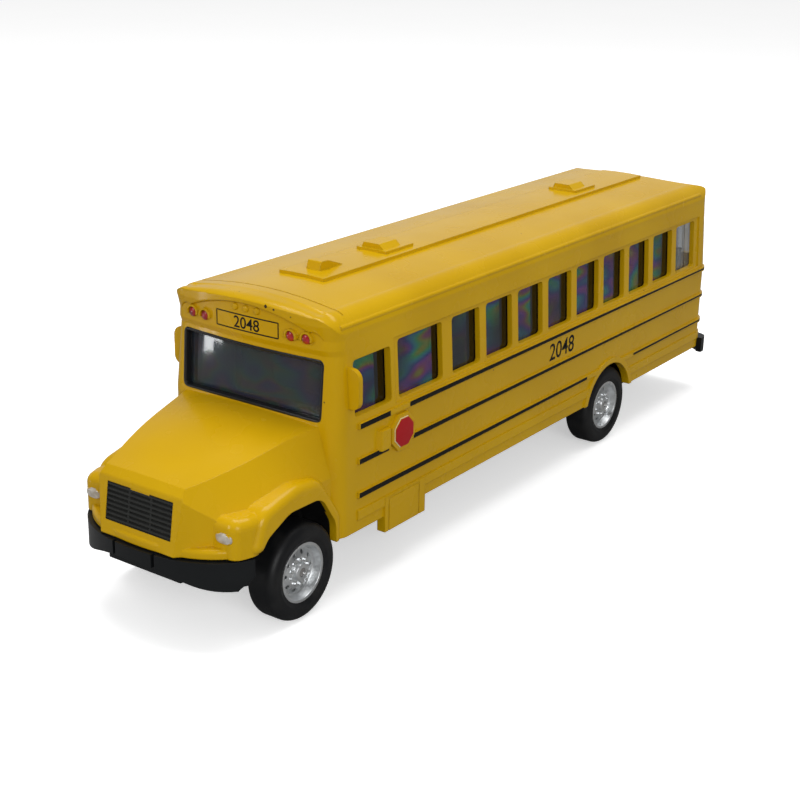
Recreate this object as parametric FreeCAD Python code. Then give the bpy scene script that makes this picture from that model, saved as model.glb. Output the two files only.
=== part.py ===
import FreeCAD, Part
import math
import os

# Toy bus with a long nose: cast shell, clear glazing, bench moulding, moulded base and pull-back motor.
# Frame: +X to the front, +Y to the bus's left, +Z up, origin on the ground under the middle.
# All lengths are millimetres.

V = FreeCAD.Vector

# ---- overall places ----
BUMPER_FRONT_X = 108.0
BUMPER_REAR_X = -108.0
BODY_REAR_X = -105.5          # rear face of the shell
FACE_X = 73.0                 # front face of the cab at the cowl, on the middle line
FACE_LEAN = 1.0               # how far the face leans back up to the header
HEADER_X = FACE_X - 0.5       # front face of the header above the windshield
FACE_BOW = 1.2                # how far the face bows forward between its corners
BELT_HALF = 23.5              # half width up to the belt
SIDE_LEAN = 1.1               # how far each side leans in between belt and eave
EAVE_HALF = BELT_HALF - SIDE_LEAN
SHOULDER_W = 4.8              # width of the roof's shoulder
SHOULDER_HALF = EAVE_HALF - SHOULDER_W
SHOULDER_BULGE = 0.23         # of the shoulder's width and height, how far it bows out
SKIRT_Z = 14.0                # lower edge of the shell
BELT_Z = 39.0                 # the sides lean in above this height
ROOF_Z = 64.3                 # crown of the roof without its strip
EAVE_Z = ROOF_Z - 6.8         # start of the roof shoulder
HEADER_Z = EAVE_Z - 3.3       # lower edge of the header
HEADER_CHAMFER = 1.2          # height over which the header comes forward
CROWN_R = 105.0               # radius of the roof's crown
TAIL_DROP = 2.9               # how far the roof falls towards the rear face
WALL = 1.7                    # wall of the shell
FRONT_CORNER_R = 3.9          # front corners of the cab, in plan
REAR_CORNER_R = 4.5           # rear corners, in plan
FAR = 40.0                    # past the bus on either side, for cutting shapes

# ---- windows ----
WINDOW_PITCH = 14.14
WINDOW_W = 11.4
WINDOW_COUNT = 9              # the evenly spaced ones
WINDOW_FIRST_X = 28.57        # front edge of the first evenly spaced window
WINDOW_LOW_Z = BELT_Z + 1.0
WINDOW_HIGH_Z = HEADER_Z - 1.0
WINDOW_R = 0.9
LONG_WINDOW_X = (32.5, 49.3)
DRIVER_WINDOW_X = (52.4, 65.4)
DRIVER_WINDOW_Z = (BELT_Z + 1.3, HEADER_Z - 1.6)
BAND_DEPTH = 0.35             # the pillars lie this far behind the skin
BAND_X = (-98.6, 50.9)
BAND_Z = (BELT_Z + 0.35, HEADER_Z - 0.2)
WINDSHIELD_HALF = BELT_HALF - 4.3
WINDSHIELD_Z = (BELT_Z + 0.9, HEADER_Z - 1.2)
WINDSHIELD_RISE = 0.7         # its lower edge is crowned like the hood
REAR_WINDOW_Y = (BELT_HALF - 13.9, BELT_HALF - 4.1)
REAR_WINDOW_Z = (BELT_Z + 2.4, HEADER_Z - 1.6)
REAR_WINDOW_R = 1.2
REAR_DOOR_HALF = 7.6
REAR_DOOR_WINDOW_HALF = 5.6

# ---- rails, strip and roof details ----
RAIL_ZS = (BELT_Z - 1.0, BELT_Z - 8.9, BELT_Z - 16.7)
RAIL_H = 1.25
RAIL_PROUD = 0.5
RAIL_FRONT_X = 64.6
SKIRT_RAIL_Z = SKIRT_Z + 3.7
SKIRT_RAIL_H = 2.2
SKIRT_RAIL_PROUD = 0.35
GUTTER_Z = EAVE_Z + 2.5
GUTTER_R = 0.6
STRIP_X = (-92.0, 54.4)
STRIP_HALF = 6.2
STRIP_PROUD = 0.7
CAP_SEAM_X = 65.6
SEAM_W = 0.3
SEAM_DEPTH = 0.25
BROW_PROUD = 0.9              # how far the brow stands in front of the header
BROW_ROLL_L = 5.0             # the roof rolls down to the brow's front over this length
BROW_ROLL_H = 1.0             # and by this much on the middle line
BROW_CROWN_R = 50.0           # radius of the brow's arch
BROW_COVE = (0.7, 2.6)        # the hollow below starts and ends this far under the lip and the roof
BROW_FADE_Z = EAVE_Z + 3.2    # below this height the brow runs out into the corners
VENT_X = 50.7
VENT_L = 9.0
VENT_HALF = 1.9
VENT_H = 1.9
HATCH_XS = ((18.4, 29.2), (-68.4, -57.6))
HATCH_HALF = 4.2
HATCH_H = (0.55, 1.7)         # base and lid above the strip

# ---- lamps, mirrors and sign ----
WARNING_LAMP_Y = (BELT_HALF - 7.7, BELT_HALF - 11.6)
WARNING_LAMP_Z = EAVE_Z
WARNING_LAMP_R = 1.0
WARNING_LAMP_PROUD = 0.35
VISOR_R = 1.6
VISOR_PROUD = 0.7
MARKER_YS = (-3.0, 0.0, 3.0)
MARKER_Z = ROOF_Z - 3.1
MARKER_R = 0.75
MARKER_PROUD = 0.5
TAIL_LAMP_Z = BELT_Z - 13.2
TAIL_LAMPS = (                # y, z and radius of the left ones
    (BELT_HALF - 7.5, TAIL_LAMP_Z, 2.1),
    (BELT_HALF - 12.3, TAIL_LAMP_Z, 1.5),
    (BELT_HALF - 6.3, EAVE_Z - 0.9, 1.5),
    (BELT_HALF - 10.7, EAVE_Z - 0.9, 1.5),
)
TAIL_LAMP_PROUD = 0.5
MIRROR_X = (66.2, 67.5)
MIRROR_REACH = 2.5            # beyond the belt
MIRROR_Z = (HEADER_Z - 11.5, HEADER_Z - 2.7)
SIGN_X = 49.2
SIGN_Z = BELT_Z - 6.4
SIGN_OUTER_R = 4.55
SIGN_INNER_R = 3.4
SIGN_PROUD = (0.9, 1.2)
SIGN_MARGIN = 0.5             # bare ring round the sign where the rails stop
BRACKET_X = (53.9, 58.2)
BRACKET_Z = (BELT_Z - 8.6, BELT_Z - 4.0)
BRACKET_PROUD = 1.2
BATTERY_X = (39.8, 55.0)
BATTERY_Z = (SKIRT_Z - 3.7, SKIRT_Z + 4.6)
BATTERY_PROUD = 0.45

# ---- nose ----
HOOD_LOW_Z = 19.8             # lower edge of the nose above the bumper
GRILLE_TOP_X = 104.9
GRILLE_TOP_Z = 31.9
GRILLE_LOW_X = 106.7
GRILLE_HALF = 9.1
GRILLE_Z = (22.75, 30.8)
GRILLE_DEPTH = 0.8
GRILLE_NOTCH_HALF = 2.6       # bright tab that hangs into the grille's top edge
GRILLE_NOTCH_H = 0.5
SLAT_COUNT = 8
SLAT_T = 0.45
DIVIDER_W = 0.45
HOOD_LIP_X = 103.1            # top front edge of the hood
HOOD_LIP_Z = 34.2
HOOD_STATIONS = (
    # x; crease in from the belt and up from its height, rise of the crown; side in and up likewise
    (69.5, 3.8, 0.2, 1.3, 1.7, -11.0),
    (80.8, 6.7, -1.2, 1.25, 1.9, -11.0),
    (90.0, 8.4, -2.9, 1.0, 3.3, -11.5),
    (97.0, 10.4, -4.3, 0.5, 5.9, -12.0),
    (107.5, 13.7, -5.8, 0.15, 9.4, -13.0),
)
POD_INNER_Y = BELT_HALF - 10.1
POD_OUTER_Y = BELT_HALF - 1.3
POD_FRONT_X = 100.7
POD_HIGH_Z = 28.0
POD_R = 2.3                   # the pod's rounded top
LENS_Y = BELT_HALF - 5.3
LENS_Z = 24.1
LENS_HALF_W = 1.95
LENS_HALF_H = 1.1
LENS_PROUD = 0.25
VALANCE_SET_BACK = 1.0        # the nose's lower band lies this far behind the bumper's face
VALANCE_H = 1.9
VALANCE_R = 0.8
FLARE_HALF = BELT_HALF - 0.1
FLARE_R = 1.9
FLARE_OUTLINE = ((69.3, SKIRT_Z), (69.3, 20.0, 4.0), (76.3, 30.2, 5.0), (83.5, 31.0, 9.0), (94.5, 28.4, 5.0),
                 (98.0, HOOD_LOW_Z, 1.5), (90.0, HOOD_LOW_Z), (90.0, SKIRT_Z))
ARCH_FRONT = ((71.3, 5), (71.6, 18.5, 5.0), (76.4, 25.8, 4.5), (86.5, 26.0, 6.0), (93.8, 22.6, 5.0),
              (96.4, 17.5), (96.4, 5))

# ---- wheels and axles ----
AXLE_Z = 10.65                # also the tyre's outer radius
FRONT_AXLE_X = 81.76
REAR_AXLE_X = -47.5
AXLE_R = 1.0
AXLE_CLEARANCE = 0.06
WHEEL_FACE_Y = BELT_HALF - 0.3
TYRE_W = 7.4
TYRE_SEAT_R = 6.56
TYRE_RIB_R = 6.1
FIT_GAP = 0.03                # between pieces that are pushed together
RIM_SET_BACK = 0.5
SPOKE_HOLES = 10
HOLE_CIRCLE_R = 4.15
HOLE_R = 0.45
NUT_CIRCLE_R = 2.75
NUT_R = 0.36
WELL_INNER_Y = WHEEL_FACE_Y - TYRE_W - 1.8
ARCH_REAR_X = REAR_AXLE_X + 0.6
ARCH_REAR_Z = AXLE_Z + 0.25
ARCH_REAR_R = 12.0
ARCH_LIP = 1.5
ARCH_LIP_PROUD = 0.5

# ---- base ----
PLATE_Z = (SKIRT_Z - 0.6, SKIRT_Z + 1.4)
PLATE_GAP = 0.3               # between the plate and the shell's walls
CHEEK_Y = (WHEEL_FACE_Y - TYRE_W - 5.2, WHEEL_FACE_Y - TYRE_W - 3.0)
CHEEK_HALF_X = 3.4
CHEEK_LOW_Z = AXLE_Z - 2.75
SNAP_SLOT_W = 1.7
BOW_X = 90.0                  # the front bumper bows forward from here
BOW_HALF = BELT_HALF + 0.3
BOW_POWER = 2.3               # shape of the bow: 2 is an ellipse, more is squarer
BOW_END_X = 96.6
BUMPER_T = 2.0
BUMPER_Z = (13.0, 19.4)
BUMPER_END_RISE = 2.6         # the lower edge rises again at both ends
BUMPER_RISE = ((18.0, 13.0), (7.0, 16.5))     # (y, z) where the lower edge starts and stops to rise
BUMPER_RISE_R = 28.0
BUMPER_GROOVE_Y = 5.4
BUMPER_GROOVE_W = 0.8
BUMPER_GROOVE_Z = 16.2
REAR_BUMPER_Z = (12.0, 16.4)
REAR_BUMPER_T = 1.0
REAR_BUMPER_END_X = -103.2
FRAME_RAIL_H = 1.6
FRAME_RAIL_YS = (-9.5, 8.0)
CROSS_RIB_XS = (-80.0, 0.0, 34.0, 62.0)
NOSE_PLATE_X = 96.0
NOSE_PLATE_HALF = 12.0
ARM_X = (97.2, 101.5)

# ---- posts and screws ----
FRONT_POST_X = 97.5
REAR_POST_X = -99.0
POST_R = 2.6
POST_HIGH_Z = 33.6
SCREW_R = 0.9
SCREW_HEAD_R = 2.0
SCREW_HEAD_H = 1.2
SCREW_BITE = 7.0

# ---- interior ----
FLOOR_Z = (31.0, 32.2)
FLOOR_HALF = BELT_HALF - 2.5
FLOOR_X = (-101.0, 66.5)
BENCH_Y = (3.4, BELT_HALF - 4.5)
BENCH_DEPTH = 7.0
BENCH_SEAT_Z = FLOOR_Z[1] + 4.6
BENCH_BACK_Z = FLOOR_Z[1] + 13.0
BENCH_BACK_T = 1.7
DRIVER_X = 56.5
WHEEL_HUB = V(60.9, 10.2, FLOOR_Z[1] + 9.0)
STEERING_R = 2.7
LEG_R = 1.7
LEG_XS = (-88.0, 60.0)
LEG_Y = 12.0
PANE_T = 1.2
GLAZING_GAP = 0.15

# ---- entry door ----
DOOR_X = (51.9, 63.4)
DOOR_Z = (SKIRT_Z + 1.9, HEADER_Z - 0.5)
DOOR_T = 1.5
DOOR_GAP = 0.35
DOOR_PANE_X = ((53.0, 57.0), (58.2, 62.2))
DOOR_PANE_Z = ((SKIRT_Z + 5.5, BELT_Z - 3.5), (BELT_Z + 0.6, HEADER_Z - 2.2))
DOOR_PANE_R = 0.6
DOOR_GLASS_T = 0.5
HINGE_X = DOOR_X[1] + 1.2
HINGE_Y = 0.3 - BELT_HALF
KNUCKLE_R = 0.5
KNUCKLE_GAP = 0.2
SHELL_KNUCKLE_R = 0.8
PIN_R = 0.3
PIN_CLEARANCE = 0.05
PIN_L = 1.6
KNUCKLE_Z = (SKIRT_Z + 4.2, BELT_Z - 3.2)

# ---- pull-back motor ----
GEAR_MODULE = 0.45
PINION_TEETH = 10
WHEEL_TEETH = 30
GEAR_BACKLASH = 0.16
COMPOUND_ANGLE = 55.0         # direction from the axle to the compound gear, degrees above +X
DRUM_ANGLE = -20.0            # direction from the compound gear to the drum
CASE_WALL = 1.0
CASE_GAP = 0.45
CASE_NOSE_R = 3.4             # of the case round the axle, inside its gap and wall
CASE_HALF_Y = CHEEK_Y[0] - 2.2
TAB_T = 1.6
TAB_SCREW_Y = CASE_HALF_Y + 1.5
FIRST_MESH_Y = (CASE_HALF_Y - 5.0, CASE_HALF_Y - 2.2)
SECOND_MESH_Y = (FIRST_MESH_Y[0] - 3.2, FIRST_MESH_Y[0] - 0.4)
DRUM_Y = (1.5 - CASE_HALF_Y, SECOND_MESH_Y[0])
DRUM_WALL = 0.8
SHAFT_R = 0.7
SPRING_T = 0.22
SPRING_TURNS = 7
SPRING_PITCH = 0.55
SPRING_GAP = 0.3


# ---------------------------------------------------------------- drawing helpers

def on_yz(x):
    """Maps a flat (y, z) point to the plane at x."""
    return lambda a, b: V(x, a, b)


def on_xz(y):
    """Maps a flat (x, z) point to the plane at y."""
    return lambda a, b: V(a, y, b)


def on_xy(z):
    """Maps a flat (x, y) point to the plane at z."""
    return lambda a, b: V(a, b, z)


def rounded_wire(corners, put):
    """Closed outline through (a, b) or (a, b, radius) corners, each rounded by its radius."""
    points = []
    count = len(corners)
    for i in range(count):
        a, b = corners[i][:2]
        radius = corners[i][2] if len(corners[i]) > 2 else 0.0
        here = V(a, b, 0)
        to_last = (V(*corners[i - 1][:2], 0) - here).normalize()
        to_next = (V(*corners[(i + 1) % count][:2], 0) - here).normalize()
        if radius <= 0:
            points.append((here,))
            continue
        half = to_last.getAngle(to_next) / 2
        middle = (to_last + to_next).normalize()
        centre = here + middle * (radius / math.sin(half))
        reach = radius / math.tan(half)
        points.append((here + to_last * reach, centre - middle * radius, here + to_next * reach))
    edges = []
    for i in range(count):
        arc = points[i]
        if len(arc) == 3:
            edges.append(Part.Arc(*[put(p.x, p.y) for p in arc]).toShape())
        start = arc[-1]
        end = points[(i + 1) % count][0]
        if start.distanceToPoint(end) > 1e-6:
            edges.append(Part.LineSegment(put(start.x, start.y), put(end.x, end.y)).toShape())
    return Part.Wire(edges)


def prism(corners, put, run):
    """Solid made by pushing a rounded outline along the vector run."""
    return Part.Face(rounded_wire(corners, put)).extrude(run)


def slab(x, y, z):
    """Box between the pairs x, y and z."""
    return Part.makeBox(x[1] - x[0], y[1] - y[0], z[1] - z[0], V(x[0], y[0], z[0]))


def rod(radius, start, end):
    """Round bar between two points."""
    run = end - start
    return Part.makeCylinder(radius, run.Length, start, run)


def turned(corners, centre_x=0.0, centre_z=0.0):
    """Solid of revolution about a Y axis from (y, r) corners."""
    face = Part.Face(rounded_wire(corners, lambda a, b: V(centre_x, a, centre_z + b)))
    return face.revolve(V(centre_x, 0, centre_z), V(0, 1, 0), 360)


def joined(shapes):
    """One solid from shapes that touch or overlap."""
    return shapes[0].multiFuse(shapes[1:]).removeSplitter()


def mirrored(shape):
    """The same shape on the bus's other side."""
    return shape.mirror(V(0, 0, 0), V(0, 1, 0))


def both(shape):
    """A shape and its mirror image on the other side."""
    return [shape, mirrored(shape)]


# ---------------------------------------------------------------- outer form

def cab_plan(front_x, half, z, inset):
    """Plan outline of the cabin: bowed front, rounded corners and square sides."""
    half -= inset
    front_x -= inset
    rear_x = BODY_REAR_X + inset
    nose_r = FRONT_CORNER_R - inset
    tail_r = REAR_CORNER_R - inset
    shoulder_x = front_x - FACE_BOW
    diagonal = math.sqrt(0.5)

    def line(a, b):
        return Part.LineSegment(V(*a, z), V(*b, z)).toShape()

    def arc(a, b, c):
        return Part.Arc(V(*a, z), V(*b, z), V(*c, z)).toShape()

    def corner(x, y, radius, sx, sy):
        return (x + sx * radius * diagonal, y + sy * radius * diagonal)

    nose_x = shoulder_x - nose_r
    nose_y = half - nose_r
    tail_x = rear_x + tail_r
    tail_y = half - tail_r
    edges = [
        arc((shoulder_x, -nose_y), (front_x, 0), (shoulder_x, nose_y)),
        arc((shoulder_x, nose_y), corner(nose_x, nose_y, nose_r, 1, 1), (nose_x, half)),
        line((nose_x, half), (tail_x, half)),
        arc((tail_x, half), corner(tail_x, tail_y, tail_r, -1, 1), (rear_x, tail_y)),
        line((rear_x, tail_y), (rear_x, -tail_y)),
        arc((rear_x, -tail_y), corner(tail_x, -tail_y, tail_r, -1, -1), (tail_x, -half)),
        line((tail_x, -half), (nose_x, -half)),
        arc((nose_x, -half), corner(nose_x, -nose_y, nose_r, 1, -1), (shoulder_x, -nose_y)),
    ]
    return Part.Wire(edges)


def side_half(z):
    """Half width of the leaning side at a height between belt and eave."""
    return BELT_HALF - SIDE_LEAN * (z - BELT_Z) / (EAVE_Z - BELT_Z)


def shoulder_points(inset, radius):
    """The roof shoulder's start, middle and end, as (y, z), for a crown of this radius set in by inset."""
    crown_z = ROOF_Z - radius
    end_y = SHOULDER_HALF - inset * 0.5
    end_z = crown_z + math.sqrt((radius - inset) ** 2 - end_y ** 2)
    start = (EAVE_HALF - inset, EAVE_Z)
    bulge = SHOULDER_BULGE * math.hypot(start[0] - end_y, end_z - start[1])
    middle = ((start[0] + end_y) / 2 + bulge * 0.64, (start[1] + end_z) / 2 + bulge * 0.77)
    return start, middle, (end_y, end_z)


def roof_wire(inset, x, radius=CROWN_R):
    """The roof's crown and shoulders at x, set in by inset, as a closed outline wide open below the eaves."""
    start, middle, end = shoulder_points(inset, radius)
    crown = (0, ROOF_Z - inset)

    def line(a, b):
        return Part.LineSegment(V(x, *a), V(x, *b)).toShape()

    def arc(a, b, c):
        return Part.Arc(V(x, *a), V(x, *b), V(x, *c)).toShape()

    def flip(p):
        return (-p[0], p[1])

    edges = [
        line((-FAR, 0), (FAR, 0)),
        line((FAR, 0), (FAR, EAVE_Z)),
        line((FAR, EAVE_Z), start),
        arc(start, middle, end),
        arc(end, crown, flip(end)),
        arc(flip(end), flip(middle), flip(start)),
        line(flip(start), (-FAR, EAVE_Z)),
        line((-FAR, EAVE_Z), (-FAR, 0)),
    ]
    return Part.Wire(edges)


def roof_limit(inset):
    """Long solid whose top is the roof's crown and shoulders, rolled down to the brow in front."""
    rear_x = BODY_REAR_X - 5
    front_x = HEADER_X + BROW_PROUD
    straight = Part.Face(roof_wire(inset, rear_x)).extrude(V(front_x - BROW_ROLL_L - rear_x, 0, 0))
    wires = []
    for turn in (0, 30, 60, 90):
        angle = math.radians(turn)
        drop = 1 - math.cos(angle)
        radius = CROWN_R + (BROW_CROWN_R - CROWN_R) * drop
        x = front_x - BROW_ROLL_L * (1 - math.sin(angle))
        wires.append(roof_wire(inset + BROW_ROLL_H * drop, x, radius))
    return straight.fuse(Part.makeLoft(wires, True, False))


def side_limit(inset):
    """Side outline that rounds the roof down to the rear face."""
    rear = BODY_REAR_X + inset
    front = HEADER_X + BROW_PROUD - inset
    top = ROOF_Z + 5
    corners = [
        (rear, 0),
        (rear, ROOF_Z - TAIL_DROP - inset, 4.2),
        (rear + 14, ROOF_Z + 0.1 - inset, 25),
        (rear + 19, top),
        (front, top),
        (front, 0),
    ]
    return prism(corners, on_xz(-FAR), V(0, 2 * FAR, 0))


def cabin_walls(inset, low_z):
    """The cabin's upright walls, set in by inset, from low_z to above the roof."""
    top_z = ROOF_Z + 2
    chamfer_z = HEADER_Z + HEADER_CHAMFER
    walls = [
        [cab_plan(FACE_X, BELT_HALF, low_z, inset), cab_plan(FACE_X, BELT_HALF, BELT_Z, inset)],
        [cab_plan(FACE_X, BELT_HALF, BELT_Z, inset),
         cab_plan(FACE_X - FACE_LEAN, side_half(HEADER_Z), HEADER_Z, inset)],
        [cab_plan(FACE_X - FACE_LEAN, side_half(HEADER_Z), HEADER_Z, inset),
         cab_plan(HEADER_X, side_half(chamfer_z), chamfer_z, inset)],
        [cab_plan(HEADER_X, side_half(chamfer_z), chamfer_z, inset),
         cab_plan(HEADER_X, EAVE_HALF, EAVE_Z, inset)],
        [cab_plan(HEADER_X, EAVE_HALF, EAVE_Z, inset), cab_plan(HEADER_X, EAVE_HALF, top_z, inset)],
    ]
    stages = [Part.makeLoft(pair, True, True) for pair in walls]
    return stages[0].multiFuse(stages[1:])


def cabin(inset, low_z):
    """The cabin's closed form, set in by inset, from low_z up to the roof."""
    return cabin_walls(inset, low_z).common(roof_limit(inset)).common(side_limit(inset))


def brow():
    """Lip that stands forward along the header's arched top, over a hollow, and fades into the corners."""
    front_x = HEADER_X + BROW_PROUD
    fade = Part.makeLoft([cab_plan(HEADER_X, EAVE_HALF, EAVE_Z, 0),
                          cab_plan(front_x, EAVE_HALF, BROW_FADE_Z, 0)], True, True)
    rest = Part.makeLoft([cab_plan(front_x, EAVE_HALF, BROW_FADE_Z, 0),
                          cab_plan(front_x, EAVE_HALF, ROOF_Z + 2, 0)], True, True)
    block = fade.fuse(rest).common(roof_limit(0))
    block = block.common(slab((HEADER_X - FRONT_CORNER_R - 2, front_x + 1), (-FAR, FAR), (0, ROOF_Z + 5)))
    high, low = BROW_COVE
    wires = [roof_wire(low, x, BROW_CROWN_R) for x in (HEADER_X - 3 * FACE_BOW, HEADER_X - FACE_BOW)]
    wires.append(roof_wire(BROW_ROLL_H + high, front_x + 0.1, BROW_CROWN_R))
    hollow = Part.makeLoft(wires, True, True)
    return block.cut(hollow)


# ---------------------------------------------------------------- nose

def hood_wire(station, inset, low_z):
    """Cross-section of the hood at one station: crowned top, slanted band and upright side."""
    x, crease_in, crease_up, rise, side_in, side_up = station
    crease = BELT_HALF - crease_in - inset
    crease_z = BELT_Z + crease_up - inset
    side = BELT_HALF - side_in - inset
    side_z = BELT_Z + side_up - inset * 0.5
    flat = [(-crease, crease_z), (-side, side_z), (-side, low_z), (side, low_z), (side, side_z),
            (crease, crease_z)]
    edges = [Part.LineSegment(V(x, *flat[i]), V(x, *flat[i + 1])).toShape() for i in range(5)]
    crown = V(x, 0, crease_z + rise)
    edges.append(Part.Arc(V(x, crease, crease_z), crown, V(x, -crease, crease_z)).toShape())
    return Part.Wire(edges)


def nose_profile(inset):
    """Side outline of the nose: leaning grille face and a chamfer up to the hood's front lip."""
    corners = [
        (60, 5),
        (GRILLE_LOW_X - inset, 5),
        (GRILLE_LOW_X - inset, HOOD_LOW_Z),
        (GRILLE_TOP_X - inset, GRILLE_TOP_Z, 1.5),
        (HOOD_LIP_X - inset, HOOD_LIP_Z, 2.0),
        (95, BELT_Z + 2),
        (60, 60),
    ]
    return prism(corners, on_xz(-FAR), V(0, 2 * FAR, 0))


def nose_plan(inset):
    """Plan outline of the nose: narrow grille face whose corners sweep back to the lamps."""
    half_side = [
        (GRILLE_LOW_X + 0.3 - inset, GRILLE_HALF + 0.7 - inset, 1.2),
        (GRILLE_LOW_X - 1.0 - inset, GRILLE_HALF + 1.9 - inset, 1.6),
        (POD_FRONT_X - 0.3 - inset, POD_INNER_Y + 2.4 - inset, 2.5),
        (POD_FRONT_X - 3.0 - inset, POD_OUTER_Y - 1.2 - inset),
        (60, BELT_HALF + 0.5),
    ]
    corners = half_side + [(x, -y, *r) for x, y, *r in reversed(half_side)]
    return prism(corners, on_xy(0), V(0, 0, 60))


def hood_form(inset, low_z):
    """The hood and nose without fenders."""
    loft = Part.makeLoft([hood_wire(s, inset, low_z) for s in HOOD_STATIONS], True, False)
    return loft.common(nose_profile(inset)).common(nose_plan(inset))


def bow_wire(inset, z):
    """Plan outline of the nose's rounded front, set in from the bumper's face: a superellipse's half."""
    reach = BUMPER_FRONT_X - BOW_X - inset
    half = BOW_HALF - inset
    power = 2 / BOW_POWER
    points = []
    for turn in range(-90, 91, 15):
        ahead = max(0.0, math.cos(math.radians(turn))) ** power
        across = math.copysign(abs(math.sin(math.radians(turn))) ** power, turn)
        points.append(V(BOW_X + reach * ahead, half * across, z))
    curve = Part.BSplineCurve()
    curve.interpolate(points)
    return Part.Wire([curve.toShape(), Part.LineSegment(points[-1], points[0]).toShape()])


def bow(inset, low_z, high_z):
    """Solid between two heights with the bow's outline."""
    return Part.Face(bow_wire(inset, low_z)).extrude(V(0, 0, high_z - low_z))


def valance():
    """The nose's lower band: it follows the bumper from fender to fender, with its top edge rolled over."""
    high_z = HOOD_LOW_Z + VALANCE_H
    band = bow(VALANCE_SET_BACK, HOOD_LOW_Z, high_z)
    rim = [e for e in band.Edges if e.BoundBox.ZMin > high_z - 0.01 and e.BoundBox.XMax > BOW_X + 1]
    return band.makeFillet(VALANCE_R, rim)


def flare():
    """Left front fender: an outline pushed out from the hood, with its outer edge rolled over."""
    body = prism(FLARE_OUTLINE, on_xz(WELL_INNER_Y), V(0, FLARE_HALF - WELL_INNER_Y, 0))
    rolled = [e for e in body.Edges if abs(e.BoundBox.YMin - FLARE_HALF) < 1e-3
              and e.BoundBox.ZMax > HOOD_LOW_Z + 0.1]
    return body.makeFillet(FLARE_R, rolled)


def lamp_pod():
    """Left headlight pod: a round-topped bulge between the nose and the fender."""
    plan = [(BOW_X, POD_INNER_Y), (POD_FRONT_X, POD_INNER_Y), (POD_FRONT_X, POD_OUTER_Y - 1.2, 2.6),
            (POD_FRONT_X - 4.0, POD_OUTER_Y + 0.2, 2.4), (BOW_X, POD_OUTER_Y + 0.2)]
    pod = prism(plan, on_xy(HOOD_LOW_Z), V(0, 0, POD_HIGH_Z - HOOD_LOW_Z))
    top = [e for e in pod.Edges if e.BoundBox.ZMin > POD_HIGH_Z - 0.01 and e.BoundBox.XMax > BOW_X + 1
           and e.BoundBox.YMax > POD_INNER_Y + 0.1]
    return pod.makeFillet(POD_R, top)


def lens(sign):
    """Oblong lens with round ends on the front of a headlight pod."""
    corners = []
    for across, up in ((-1, -1), (1, -1), (1, 1), (-1, 1)):
        corners.append((sign * LENS_Y + across * LENS_HALF_W, LENS_Z + up * LENS_HALF_H, LENS_HALF_H * 0.9))
    back_x = POD_FRONT_X - 1.5
    bump = prism(corners, on_yz(back_x), V(POD_FRONT_X + LENS_PROUD - back_x, 0, 0))
    rim = [e for e in bump.Edges if e.BoundBox.XMin > POD_FRONT_X]
    return bump.makeFillet(LENS_PROUD * 0.8, rim)


def grille_face_x(z):
    """X of the nose's leaning face at a height."""
    lean = (GRILLE_LOW_X - GRILLE_TOP_X) / (GRILLE_TOP_Z - HOOD_LOW_Z)
    return GRILLE_LOW_X - lean * (z - HOOD_LOW_Z)


def grille():
    """The louvres and upright dividers that fill the grille's recess, and the tab at its top."""
    low_z, high_z = GRILLE_Z
    pitch = (high_z - low_z) / SLAT_COUNT
    side = GRILLE_HALF + 0.2
    pieces = []
    for i in range(SLAT_COUNT):
        z = low_z + pitch * (i + 0.5)
        face_x = grille_face_x(z) - 0.15
        back_x = face_x - GRILLE_DEPTH - 0.4
        louvre = [(back_x, z + SLAT_T), (face_x, z + SLAT_T * 0.3), (face_x, z - SLAT_T * 0.7),
                  (back_x, z - SLAT_T * 0.2)]
        pieces.append(prism(louvre, on_xz(-side), V(0, 2 * side, 0)))
    low_x = grille_face_x(low_z) - 0.3
    high_x = grille_face_x(high_z) - 0.3
    depth = GRILLE_DEPTH + 0.2
    bar = [(low_x, low_z - 0.2), (high_x, high_z + 0.2), (high_x - depth, high_z + 0.2),
           (low_x - depth, low_z - 0.2)]
    for y in (-GRILLE_HALF / 3, GRILLE_HALF / 3):
        pieces.append(prism(bar, on_xz(y - DIVIDER_W / 2), V(0, DIVIDER_W, 0)))
    tab_x = (high_x - depth, grille_face_x(high_z) - 0.05)
    tab_z = (high_z - GRILLE_NOTCH_H, high_z + 0.3)
    pieces.append(slab(tab_x, (-GRILLE_NOTCH_HALF, GRILLE_NOTCH_HALF), tab_z))
    return pieces


def grille_recess():
    """Sloping pocket in the nose's face."""
    low_z, high_z = GRILLE_Z
    low_x = grille_face_x(low_z)
    high_x = grille_face_x(high_z)
    corners = [(low_x - GRILLE_DEPTH, low_z), (low_x + 3, low_z), (high_x + 3, high_z),
               (high_x - GRILLE_DEPTH, high_z)]
    return prism(corners, on_xz(-GRILLE_HALF), V(0, 2 * GRILLE_HALF, 0))


# ---------------------------------------------------------------- shell details

def rail(z, height, proud, front_x):
    """Rub rail along both sides that turns the rear corners."""
    form = Part.Face(cab_plan(FACE_X, BELT_HALF, z - height / 2, -proud)).extrude(V(0, 0, height))
    form = form.cut(slab((front_x, 120), (-FAR, FAR), (0, 90)))
    gap = REAR_DOOR_HALF + 4
    return form.cut(slab((BODY_REAR_X - 5, BODY_REAR_X + 1), (-gap, gap), (0, 90)))


def arch_lip():
    """Raised rim round the left rear wheel opening."""
    ring = rod(ARCH_REAR_R + ARCH_LIP, V(ARCH_REAR_X, BELT_HALF - 1, ARCH_REAR_Z),
               V(ARCH_REAR_X, BELT_HALF + ARCH_LIP_PROUD, ARCH_REAR_Z))
    return ring.common(slab((-90, 0), (0, FAR), (SKIRT_Z, 40)))


def window_hole(x0, x1, z0, z1):
    """Rounded opening through the left wall."""
    corners = [(x0, z0, WINDOW_R), (x1, z0, WINDOW_R), (x1, z1, WINDOW_R), (x0, z1, WINDOW_R)]
    return prism(corners, on_xz(15), V(0, 15, 0))


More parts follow.
